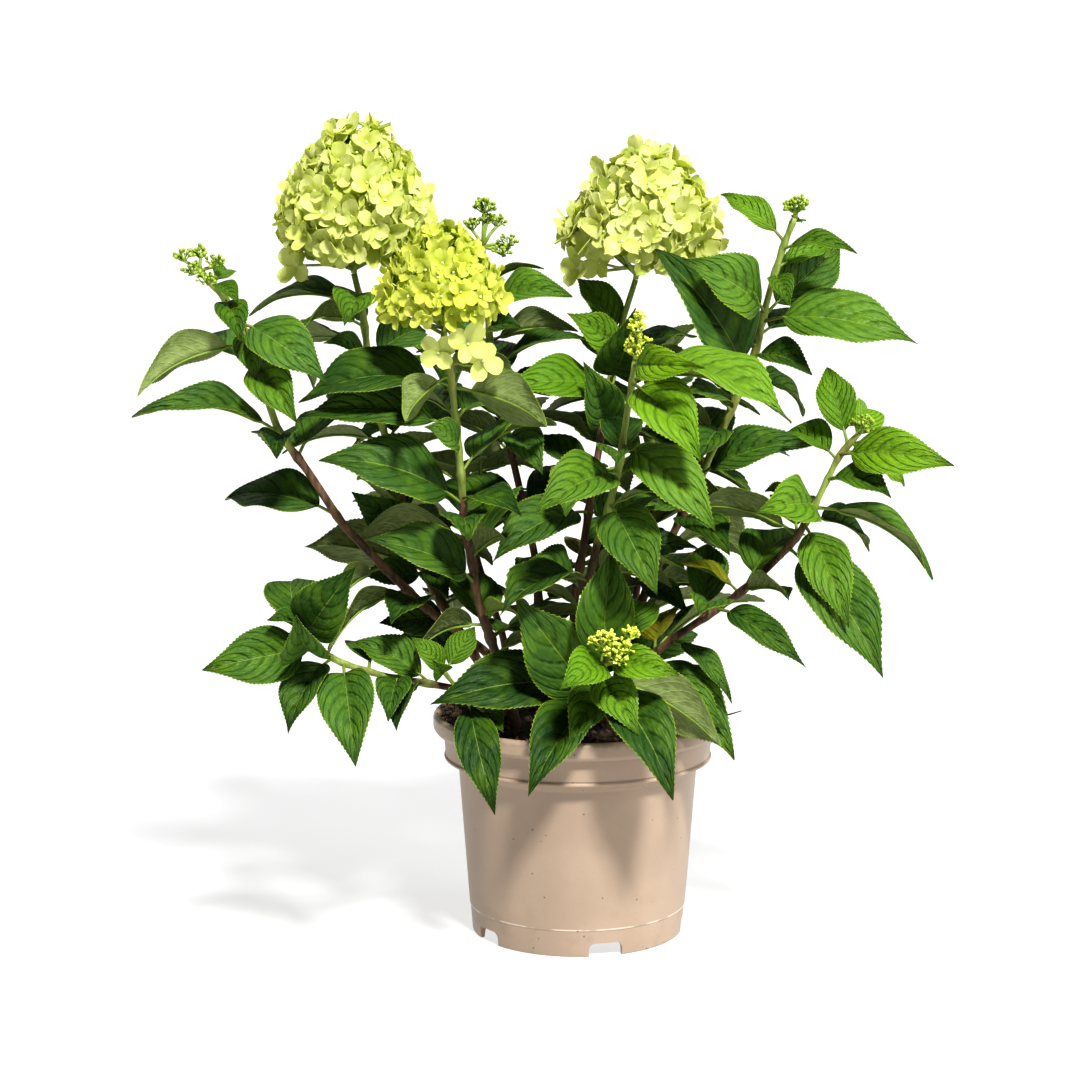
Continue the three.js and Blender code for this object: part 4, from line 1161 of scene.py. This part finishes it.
def add_fibre(shape, start, drifts, rise, bends, radii, rng, limit=math.inf):
    """A thin curved root fibre that stays within a limit round the axis."""
    drift = rng.normal(0, 1, 3) * drifts + (0, 0, rise)
    bend = rng.normal(0, 1, 3) * bends
    line = [start + drift * t + bend * math.sin(math.pi * t) for t in (0, 0.3, 0.6, 1)]
    for point in line:
        reach = math.hypot(point[0], point[1])
        if reach > limit:
            point[:2] *= limit / reach
    add_tube(shape, line, rng.uniform(*radii), 5, CRUMB_SLOT, (rng.random(), rng.random(), 0))


def around(away, angle, height):
    """A point at a distance from the axis, an angle and a height."""
    return vec(away * math.cos(angle), away * math.sin(angle), height)


def soil_body(shape, rng):
    """The soil's rough top, and its side and bottom just inside the pot."""
    sides, rings = 120, 34
    radius = np.linspace(0, 1, rings + 1)[1:, None] * SOIL_RADIUS
    turn = 2 * np.pi * np.arange(sides)[None, :] / sides
    x, y = radius * np.cos(turn), radius * np.sin(turn)
    z = SOIL_TOP + 1.3 * ripples(rng, x, y, 40) + 0.9 * ripples(rng, x, y, 9)
    z = z - 2.0 * smooth(radius, 74, SOIL_RADIUS) + 1.2 * rng.random(x.shape) * (radius < 84)
    wall = [rows_of(r * np.cos(turn[0]), r * np.sin(turn[0]), h)
            for r, h in ((85.6, 134), (84.4, 119.5), (75.8, 113.8), (67.0, SOIL_FOOT))]
    body = np.concatenate([rows_of(x, y, z), wall])
    n = len(body)
    index = np.arange(n * sides).reshape(n, sides)
    after = np.roll(index, -1, axis=1)
    walls = np.stack([index[:-1], index[1:], after[1:], after[:-1]], -1).reshape(-1, 4)
    caps = [rows_of(index[0], after[0], n * sides), rows_of(after[-1], index[-1], n * sides + 1)]
    points = np.concatenate([body.reshape(-1, 3), [(0, 0, SOIL_TOP), (0, 0, SOIL_FOOT)]])
    shape.add(points, [walls, *caps], SOIL_SLOT, (0, 0, 0), (0.5, 0.5, 0))


def make_soil(materials):
    """The soil with crumbs, root fibres and a dry twig."""
    rng = np.random.default_rng(SOIL_SEED)
    shape = Shape()
    soil_body(shape, rng)
    for _ in range(CRUMBS):
        away = CRUMB_REACH * math.sqrt(rng.random())
        angle = rng.uniform(0, 2 * np.pi)
        size = 0.8 + 2.2 * rng.random() ** 2.5
        add_grain(shape, around(away, angle, SOIL_TOP + size * 0.5), rng.normal(0, 1, 3), size,
                  rng.uniform(0.8, 1.5), CRUMB_SLOT, (rng.random(), rng.random(), 0))
    for k in range(FIBRES):
        away = rng.uniform(80, 88) if k < RIM_FIBRES else rng.uniform(10, 80)
        foot = around(away, rng.uniform(0, 2 * np.pi), SOIL_TOP - 0.5)
        add_fibre(shape, foot, (5, 5, 1.6), 3.4, (3, 3, 1), (0.18, 0.42), rng, FIBRE_REACH)
    for k in range(RIM_CRUMBS):
        angle = rng.choice([0.05, math.pi - 0.05], p=[0.5, 0.5]) + rng.normal(0, 0.42)
        away = rng.uniform(77, 89.5)
        climb = smooth(away, 76, 88) * math.exp(-((math.cos(angle) ** 2 - 1) ** 2) * 5)
        centre = around(away, angle, SOIL_TOP + climb * rng.uniform(2, 10.5))
        if k % 3:
            add_grain(shape, centre, rng.normal(0, 1, 3), rng.uniform(0.6, 1.9),
                      rng.uniform(0.8, 1.6), CRUMB_SLOT, (rng.random(), rng.random(), 0))
        else:
            add_fibre(shape, centre, (3.2, 3.2, 1.2), 1.5, (2, 2, 1), (0.16, 0.34), rng)
    add_tube(shape, TWIG, TWIG_RADII, 7, TWIG_SLOT, (0.5, 0.5, 0))
    return shape.build("potting_soil", materials)


# Materials.


class Look:
    """A material, and short ways to add nodes to it."""

    def __init__(self, name, roughness=0.5, specular=0.5):
        self.material = bpy.data.materials.new(name)
        self.material.use_nodes = True
        self.tree = self.material.node_tree
        self.shader = self.tree.nodes["Principled BSDF"]
        self.output = self.tree.nodes["Material Output"]
        self.shader.inputs["Roughness"].default_value = roughness
        self.shader.inputs["Specular IOR Level"].default_value = specular

    def feed(self, socket, value):
        if isinstance(value, bpy.types.NodeSocket):
            self.tree.links.new(value, socket)
        elif isinstance(value, tuple) and socket.type == "RGBA":
            socket.default_value = (*value, 1)
        else:
            socket.default_value = value

    def node(self, kind, feeds, **settings):
        node = self.tree.nodes.new("ShaderNode" + kind)
        for key, value in settings.items():
            setattr(node, key, value)
        for key, value in feeds.items():
            self.feed(node.inputs[key], value)
        return node

    def values(self, name):
        """The three numbers that the mesh keeps under a name."""
        source = self.node("Attribute", {}, attribute_name=name)
        return self.node("SeparateXYZ", {0: source.outputs["Vector"]}).outputs

    def calc(self, operation, a, b=0.0):
        return self.node("Math", {0: a, 1: b}, operation=operation).outputs[0]

    def times(self, a, b):
        return self.calc("MULTIPLY", a, b)

    def height(self):
        """The height above the floor in metres."""
        source = self.node("TexCoord", {}).outputs["Object"]
        return self.node("SeparateXYZ", {0: source}).outputs[2]

    def mix(self, share, a, b, blend="MIX"):
        feeds = {0: share, 6: a, 7: b}
        return self.node("Mix", feeds, data_type="RGBA", blend_type=blend).outputs[2]

    def coat(self, share, strength, colour, over):
        """A colour over another, by a share of at most strength."""
        return self.mix(self.times(share, strength), over, colour)

    def band(self, value, low, high, least=0.0, most=1.0):
        """A smooth step from least to most while the value goes from low to high."""
        feeds = {"Value": value, 1: low, 2: high, 3: least, 4: most}
        return self.node("MapRange", feeds, interpolation_type="SMOOTHSTEP").outputs[0]

    def spots(self, scale, stretch=(1, 1, 1), shift=(0, 0, 0)):
        """Object coordinates, scaled so that scale is a number of marks per metre."""
        source = self.node("TexCoord", {}).outputs["Object"]
        sizes = tuple(scale * part for part in stretch)
        return self.node("Mapping", {0: source, "Scale": sizes, "Location": shift}).outputs[0]

    def noise(self, scale, detail, stretch=(1, 1, 1), shift=(0, 0, 0)):
        feeds = {"Vector": self.spots(scale, stretch, shift), "Scale": 1.0, "Detail": detail}
        return self.node("TexNoise", feeds).outputs[0]

    def cells(self, vector):
        """The distance from the middles of a pattern of cells."""
        feeds = {"Vector": vector, "Scale": 1.0}
        return self.node("TexVoronoi", feeds, feature="F1").outputs["Distance"]

    def bump(self, height, depth, strength, before=None):
        feeds = {"Height": height, "Distance": depth * MM, "Strength": strength}
        if before is not None:
            feeds["Normal"] = before
        return self.node("Bump", feeds).outputs[0]

    def finish(self, colour, roughness=None, normal=None, glow=0.0, passed=None):
        """Sets the shader. glow is the share of light that passes through a thin piece, and
        passed its colour."""
        self.feed(self.shader.inputs["Base Color"], colour)
        if roughness is not None:
            self.feed(self.shader.inputs["Roughness"], roughness)
        if normal is not None:
            self.feed(self.shader.inputs["Normal"], normal)
        if glow:
            thin = self.node("BsdfTranslucent", {"Color": passed or colour})
            feeds = {0: glow, 1: self.shader.outputs[0], 2: thin.outputs[0]}
            both = self.node("MixShader", feeds)
            self.feed(self.output.inputs["Surface"], both.outputs[0])
        return self.material


def vein_pattern(g, across, along, pairs, draw):
    """Two patterns of a leaf: 1 on a side vein and 0 half way to the next, and the distance
    from the middles of the small panels between the cross veins."""
    side = g.calc("ABSOLUTE", across)
    curl = g.times(g.calc("POWER", side, 3.0), VEIN_CURL)
    sweep = g.calc("ADD", g.times(side, VEIN_SWEEP), curl)
    phase = g.times(g.calc("SUBTRACT", along, sweep), pairs)
    swing = g.calc("SUBTRACT", g.calc("FRACT", phase), 0.5)
    panel = {"X": g.times(phase, PANELS_ALONG), "Z": g.times(draw, 40.0),
             "Y": g.times(across, PANELS_ACROSS)}
    cell = g.cells(g.node("CombineXYZ", panel).outputs[0])
    return g.times(g.calc("ABSOLUTE", swing), 2.0), cell


def leaf_top_material():
    g = Look("leaf_top", specular=0.18)
    across, along, pairs = g.values("place")
    fresh, draw, second = g.values("look")
    side = g.calc("ABSOLUTE", across)
    crease, cell = vein_pattern(g, across, along, pairs, draw)
    mottle = g.noise(55, 4)
    fine = g.noise(700, 2)
    old = g.mix(draw, (0.02, 0.06, 0.009), (0.084, 0.186, 0.027))
    young = g.mix(draw, (0.135, 0.3, 0.008), (0.225, 0.42, 0.014))
    colour = g.mix(fresh, old, young)
    colour = g.mix(g.band(fresh, 1.2, 1.8), colour, (0.34, 0.32, 0.02))
    light = g.mix(0.4, colour, (0.195, 0.345, 0.012))
    colour = g.mix(g.band(mottle, 0.4, 0.68, 0, 0.6), colour, light)
    # Painted shade: the colour that the blade's grooves are mixed towards, round the small panels,
    # along the side veins and beside the midrib.
    crease_shade = g.mix(0.7, colour, (0.006, 0.026, 0.001))
    inner = g.band(side, 0.96, 0.8)
    # Painted shade towards the edges of the small panels, and broadly over the side veins.
    colour = g.mix(g.band(cell, 0.35, 0.75, 0, 0.3), colour, crease_shade)
    colour = g.coat(g.band(crease, 0.3, 1.0, 0, 0.13), inner, crease_shade, colour)
    # Painted shadow in the grooves of the side veins, as thin lines.
    strength = g.band(second, 0.0, 1.0, 0.45, 0.85)
    thin = g.times(g.band(crease, 0.88, 0.97), strength)
    colour = g.coat(thin, inner, crease_shade, colour)
    # Painted shade in the groove beside the midrib, then the midrib's own pale line.
    colour = g.mix(g.band(side, 0.05, 0.02, 0, 0.5), colour, crease_shade)
    colour = g.mix(g.band(side, 0.026, 0.01, 0, 0.7), colour, (0.23, 0.34, 0.05))
    colour = g.mix(g.band(side, 0.965, 0.995, 0, 0.6), colour, (0.33, 0.44, 0.035))
    patch = g.noise(140, 3, shift=(3, 1, 7))
    ends = g.calc("MAXIMUM", g.band(along, 0.94, 1.0), g.band(side, 0.92, 1.0))
    worn = g.times(ends, g.band(second, 0.7, 0.9))
    worn = g.times(worn, g.band(patch, 0.55, 0.66))
    specks = g.band(g.noise(300, 1, shift=(9, 2, 4)), 0.77, 0.8)
    worn = g.calc("MAXIMUM", worn, g.times(specks, 0.85))
    colour = g.mix(worn, colour, (0.12, 0.07, 0.018))
    rough = g.band(fine, 0.3, 0.7, 0.42, 0.58)
    height = g.calc("SUBTRACT", 1.0, g.times(g.band(crease, 0.6, 1.0), 0.9))
    height = g.calc("SUBTRACT", height, g.times(cell, 0.8))
    relief = g.bump(height, 0.75, 1.0)
    relief = g.bump(fine, 0.2, 0.7, relief)
    return g.finish(colour, rough, relief, 0.12)


def leaf_under_material():
    g = Look("leaf_underside", specular=0.15)
    across, along, pairs = g.values("place")
    fresh, draw, _ = g.values("look")
    side = g.calc("ABSOLUTE", across)
    crease, cell = vein_pattern(g, across, along, pairs, draw)
    old = g.mix(draw, (0.145, 0.18, 0.066), (0.225, 0.268, 0.104))
    colour = g.mix(fresh, old, (0.22, 0.34, 0.045))
    colour = g.mix(g.band(g.noise(90, 4), 0.4, 0.65, 0, 0.5), colour, (0.085, 0.135, 0.03))
    net = g.band(cell, 0.35, 0.7)
    colour = g.coat(net, 0.55, (0.28, 0.35, 0.12), colour)
    veins = g.band(crease, 0.86, 0.98)
    colour = g.coat(veins, 0.75, (0.36, 0.43, 0.15), colour)
    colour = g.mix(g.band(side, 0.93, 0.99, 0, 0.5), colour, (0.26, 0.36, 0.06))
    relief = g.bump(g.calc("ADD", veins, g.times(net, 0.3)), 0.35, 0.8)
    return g.finish(colour, g.band(net, 0, 1, 0.62, 0.74), relief, 0.12)


def rib_material():
    g = Look("leaf_rib", specular=0.4)
    _, along, _ = g.values("place")
    _, draw, _ = g.values("look")
    streak = g.noise(160, 3, (1, 1, 0.4))
    green = g.mix(streak, (0.13, 0.22, 0.02), (0.23, 0.32, 0.05))
    stalk = g.mix(g.band(draw, 0.55, 0.9, 0, 0.6), green, (0.16, 0.09, 0.03))
    colour = g.mix(g.band(along, 0.05, 0.25), stalk, green)
    return g.finish(colour, g.band(streak, 0.3, 0.7, 0.42, 0.6), g.bump(streak, 0.15, 0.5))


def bark_material():
    g = Look("cane_bark", specular=0.35)
    green, _, _ = g.values("look")
    streak = g.noise(260, 4, (1, 1, 0.16))
    blotch = g.noise(60, 3, (1, 1, 0.5), (5, 3, 1))
    brown = g.mix(g.band(streak, 0.35, 0.65), (0.052, 0.028, 0.014), (0.18, 0.098, 0.05))
    brown = g.mix(g.band(blotch, 0.5, 0.7, 0, 0.55), brown, (0.19, 0.14, 0.075))
    fresh = g.mix(g.band(streak, 0.3, 0.7), (0.15, 0.21, 0.03), (0.3, 0.37, 0.08))
    fresh = g.mix(g.band(blotch, 0.52, 0.66, 0, 0.4), fresh, (0.15, 0.085, 0.03))
    share = g.calc("ADD", green, g.times(g.calc("SUBTRACT", blotch, 0.5), 0.5))
    colour = g.mix(g.band(share, 0.35, 0.65), brown, fresh)
    pores = g.band(g.cells(g.spots(330, (1, 1, 0.5))), 0.12, 0.22, 1, 0)
    colour = g.coat(pores, 0.45, (0.28, 0.21, 0.13), colour)
    relief = g.bump(g.calc("ADD", streak, g.times(pores, 0.5)), 0.5, 0.8)
    return g.finish(colour, g.band(streak, 0.3, 0.7, 0.5, 0.72), relief)


def petal_material(name, rim, fold, dusk):
    """rim is the outer colour, fold the colour near the bead, and dusk the painted shade of petals
    deep in the head.
    """
    g = Look(name, specular=0.25)
    across, along, _ = g.values("place")
    dim, draw, _ = g.values("look")
    lines = g.band(g.calc("SINE", g.times(across, 17.0)), 0.55, 1.0, 0, 0.22)
    tint = g.noise(75, 3)
    # Greener towards the bead: partly the petal's own colour, partly painted shade at the petal's
    # base.
    colour = g.mix(g.band(along, 0.0, 0.55, 0.85, 0.0), rim, fold)
    colour = g.mix(g.band(tint, 0.45, 0.68, 0, 0.55), colour, fold)
    colour = g.mix(g.times(draw, 0.35), colour, fold)
    colour = g.mix(lines, colour, fold)
    # Painted shade: florets of the inner layers, less lit by their dim value, turn towards dusk.
    colour = g.mix(g.band(dim, 0.9, 0.2, 0, 0.75), colour, dusk)
    colour = g.mix(g.band(dim, 1.2, 1.8, 0, 0.8), colour, (0.8, 0.83, 0.33))
    relief = g.bump(g.noise(520, 2), 0.12, 0.5, g.bump(lines, 0.25, 0.5))
    passed = g.mix(1.0, colour, (0.93, 1.0, 0.38), "MULTIPLY")
    return g.finish(colour, g.band(tint, 0.3, 0.7, 0.5, 0.66), relief, 0.45, passed)


def plain_material(name, low, high, scale, roughness=(0.5, 0.65), depth=0.15):
    """Two colours that run into each other, with fine relief."""
    g = Look(name, specular=0.3)
    pattern = g.noise(scale, 4)
    colour = g.mix(g.band(pattern, 0.35, 0.65), low, high)
    relief = g.bump(pattern, depth, 0.7)
    return g.finish(colour, g.band(pattern, 0.3, 0.7, *roughness), relief)


def bud_material():
    g = Look("buds", specular=0.3)
    _, along, _ = g.values("place")
    bright, draw, _ = g.values("look")
    green = g.mix(draw, (0.13, 0.22, 0.012), (0.27, 0.38, 0.03))
    yellow = g.mix(draw, (0.48, 0.58, 0.016), (0.74, 0.8, 0.05))
    base = g.mix(bright, green, yellow)
    tops = g.mix(bright, (0.36, 0.45, 0.055), (0.86, 0.89, 0.2))
    colour = g.mix(g.band(along, 0.5, 1.0, 0, 0.85), base, tops)
    tint = g.noise(600, 2)
    colour = g.mix(g.band(tint, 0.45, 0.65, 0, 0.35), colour, green)
    return g.finish(colour, g.band(tint, 0.3, 0.7, 0.45, 0.6), g.bump(tint, 0.15, 0.6))


def bud_stalk_material():
    """Pale yellow-green stalks where bright is 1, and green ones where it is 0."""
    g = Look("bud_stalk", specular=0.3)
    bright, _, _ = g.values("look")
    streak = g.noise(200, 3, (1, 1, 0.4))
    green = g.mix(streak, (0.17, 0.27, 0.025), (0.33, 0.43, 0.08))
    pale = g.mix(streak, (0.36, 0.47, 0.03), (0.6, 0.68, 0.12))
    colour = g.mix(bright, green, pale)
    return g.finish(colour, g.band(streak, 0.3, 0.7, 0.45, 0.62), g.bump(streak, 0.12, 0.6))


def pot_material():
    g = Look("pot_plastic", specular=0.45)
    cloud = g.noise(26, 4)
    grain = g.noise(900, 2)
    colour = g.mix(g.band(cloud, 0.35, 0.7), (0.345, 0.254, 0.182), (0.382, 0.284, 0.206))
    colour = g.mix(g.band(grain, 0.4, 0.65, 0, 0.15), colour, (0.3, 0.22, 0.156))
    height = g.height()
    dust = g.times(g.band(height, DUST_TOP, 0.0), g.band(g.noise(70, 5), 0.5, 0.7))
    colour = g.coat(dust, 0.35, (0.23, 0.165, 0.115), colour)
    soiled = g.times(g.band(height, *STAIN), g.band(g.noise(120, 4), 0.5, 0.62))
    colour = g.coat(soiled, 0.5, (0.17, 0.12, 0.085), colour)
    # Painted shadow: a thin line in the step where the band rises from the ridge below it.
    band_shadow = g.band(g.calc("ABSOLUTE", g.calc("SUBTRACT", height, BAND_SHADOW_HEIGHT)), 0.0008, 0.0003)
    colour = g.coat(band_shadow, 0.65, (0.15, 0.1, 0.07), colour)
    # Painted highlight: a broken pale line along the edge of the lower step.
    line = g.band(g.calc("ABSOLUTE", g.calc("SUBTRACT", height, STEP_HIGHLIGHT_HEIGHT)), 0.0006, 0.0003)
    line = g.times(line, g.band(g.noise(60, 2, shift=(8, 1, 2)), 0.42, 0.55))
    colour = g.coat(line, 0.6, (0.8, 0.7, 0.58), colour)
    specks = g.band(g.cells(g.spots(115)), 0.05, 0.085, 1, 0)
    specks = g.times(specks, g.band(g.noise(50, 1, shift=(4, 4, 9)), 0.44, 0.5))
    colour = g.coat(specks, 0.85, (0.075, 0.048, 0.032), colour)
    rough = g.band(cloud, 0.3, 0.7, 0.36, 0.48)
    relief = g.bump(grain, 0.05, 0.5, g.bump(cloud, 0.5, 0.2))
    return g.finish(colour, rough, relief)


# The studio: the floor, the light and the camera.


def make_floor():
    mesh = bpy.data.meshes.new("studio_floor")
    half = FLOOR_HALF
    corners = [(-half, -half, 0), (half, -half, 0), (half, half, 0), (-half, half, 0)]
    mesh.from_pydata(corners, [], [(0, 1, 2, 3)])
    g = Look("floor_white", roughness=0.85, specular=0.1)
    tone = g.noise(3, 2)
    colour = g.mix(tone, (0.265, 0.265, 0.265), (0.28, 0.279, 0.277))
    g.shader.inputs["Emission Color"].default_value = (1, 1, 1, 1)
    g.shader.inputs["Emission Strength"].default_value = FLOOR_GLOW
    mesh.materials.append(g.finish(colour))
    floor = bpy.data.objects.new("studio_floor", mesh)
    bpy.context.scene.collection.objects.link(floor)


def make_world():
    world = bpy.data.worlds.new("studio_world")
    world.use_nodes = True
    tree = world.node_tree
    sky = tree.nodes["Background"]
    sky.inputs["Color"].default_value = (1, 1, 1, 1)
    source = tree.nodes.new("ShaderNodeTexCoord")
    parts = tree.nodes.new("ShaderNodeSeparateXYZ")
    fade = tree.nodes.new("ShaderNodeMapRange")
    fade.interpolation_type = "SMOOTHSTEP"
    for socket, value in zip(fade.inputs[1:5], (*DOME_FADE, 1.0, DOME_LIGHT)):
        socket.default_value = value
    tree.links.new(source.outputs["Generated"], parts.inputs[0])
    tree.links.new(parts.outputs["Z"], fade.inputs[0])
    tree.links.new(fade.outputs[0], sky.inputs["Strength"])
    bpy.context.scene.world = world


def make_light(name, place, strength, spread):
    """A large soft light, so far off that it reaches the whole floor evenly."""
    light = bpy.data.lights.new(name, "SUN")
    light.energy = strength
    light.angle = math.radians(spread)
    lamp = bpy.data.objects.new(name, light)
    lamp.location = place
    lamp.rotation_euler = Vector(place).to_track_quat("Z", "Y").to_euler()
    bpy.context.scene.collection.objects.link(lamp)


def make_camera():
    """The camera, as high as the plant's top and turned a little down."""
    data = bpy.data.cameras.new("camera")
    data.lens = LENS
    data.sensor_width = FILM_WIDTH
    camera = bpy.data.objects.new("camera", data)
    camera.location = CAMERA_PLACE
    camera.rotation_euler = (math.radians(90 - CAMERA_DOWN), 0, 0)
    bpy.context.scene.collection.objects.link(camera)
    bpy.context.scene.camera = camera


def attach(piece, node):
    """Puts a piece in the place of the part's node."""
    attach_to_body(piece, "root")
    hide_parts(node)


make_camera()
make_floor()
make_world()
make_light("key_light", (0.31, -0.95, 1.2), KEY_LIGHT, 9)
make_light("side_light", (0.97, -0.26, 0.65), SIDE_LIGHT, 40)
make_light("back_light", (-0.35, 0.95, 0.9), BACK_LIGHT, 50)
bpy.context.scene.view_settings.view_transform = "Standard"
bpy.context.scene.view_settings.look = "Medium High Contrast"

leaf_looks = [leaf_top_material(), leaf_under_material(), rib_material(), bark_material()]
placed = place_leaves()
add_infill(placed)
rng = np.random.default_rng(PIECE_SEED)
for cane in CANES:
    shape = Shape()
    own = [leaf for leaf in placed if leaf["cane"] == cane["name"]]
    for leaf in own:
        add_leaf(shape, leaf, cane, rng)
    add_cane(shape, cane, own)
    attach(shape.build(cane["name"] + "_foliage", leaf_looks), cane["name"])

stalks = plain_material("pale_stalk", (0.3, 0.4, 0.07), (0.52, 0.58, 0.2), 180)
bead = plain_material("floret_bead", (0.76, 0.8, 0.42), (0.9, 0.92, 0.7), 500)
# Painted shade: the colours of the heads' cores, for the shade inside the heads.
shade = plain_material("head_shade", (0.09, 0.16, 0.008), (0.2, 0.31, 0.016), 110, depth=1.0)
petals = {
    "lime": petal_material("lime_petal", (0.88, 0.89, 0.42), (0.645, 0.695, 0.072),
                           (0.41, 0.5, 0.024)),
    "green": petal_material("green_petal", (0.86, 0.87, 0.22), (0.59, 0.66, 0.024),
                            (0.34, 0.445, 0.012)),
    "pale": petal_material("pale_petal", (0.895, 0.89, 0.49), (0.69, 0.73, 0.12),
                           (0.45, 0.54, 0.038)),
}
for head in HEADS:
    shape = make_head(head, rng)
    looks = [petals[head["petals"]], bead, stalks, shade]
    attach(shape.build(head["name"] + "_florets", looks), head["name"])

bud_looks = [bud_material(), bud_stalk_material(), leaf_looks[TOP]]
for panicle in PANICLES:
    shape = make_panicle(panicle, rng)
    attach(shape.build(panicle["name"] + "_buds", bud_looks), panicle["name"])

attach(make_pot([pot_material()]), "pot")
soil_looks = [
    plain_material("soil", (0.016, 0.011, 0.008), (0.06, 0.04, 0.026), 240, (0.8, 0.95), 1.2),
    plain_material("soil_crumb", (0.022, 0.015, 0.01), (0.11, 0.072, 0.045), 300, (0.75, 0.95),
                   0.6),
    plain_material("twig_bark", (0.045, 0.028, 0.016), (0.12, 0.08, 0.048), 300, (0.6, 0.8), 0.4),
]
attach(make_soil(soil_looks), "soil")

bpy.context.view_layer.update()
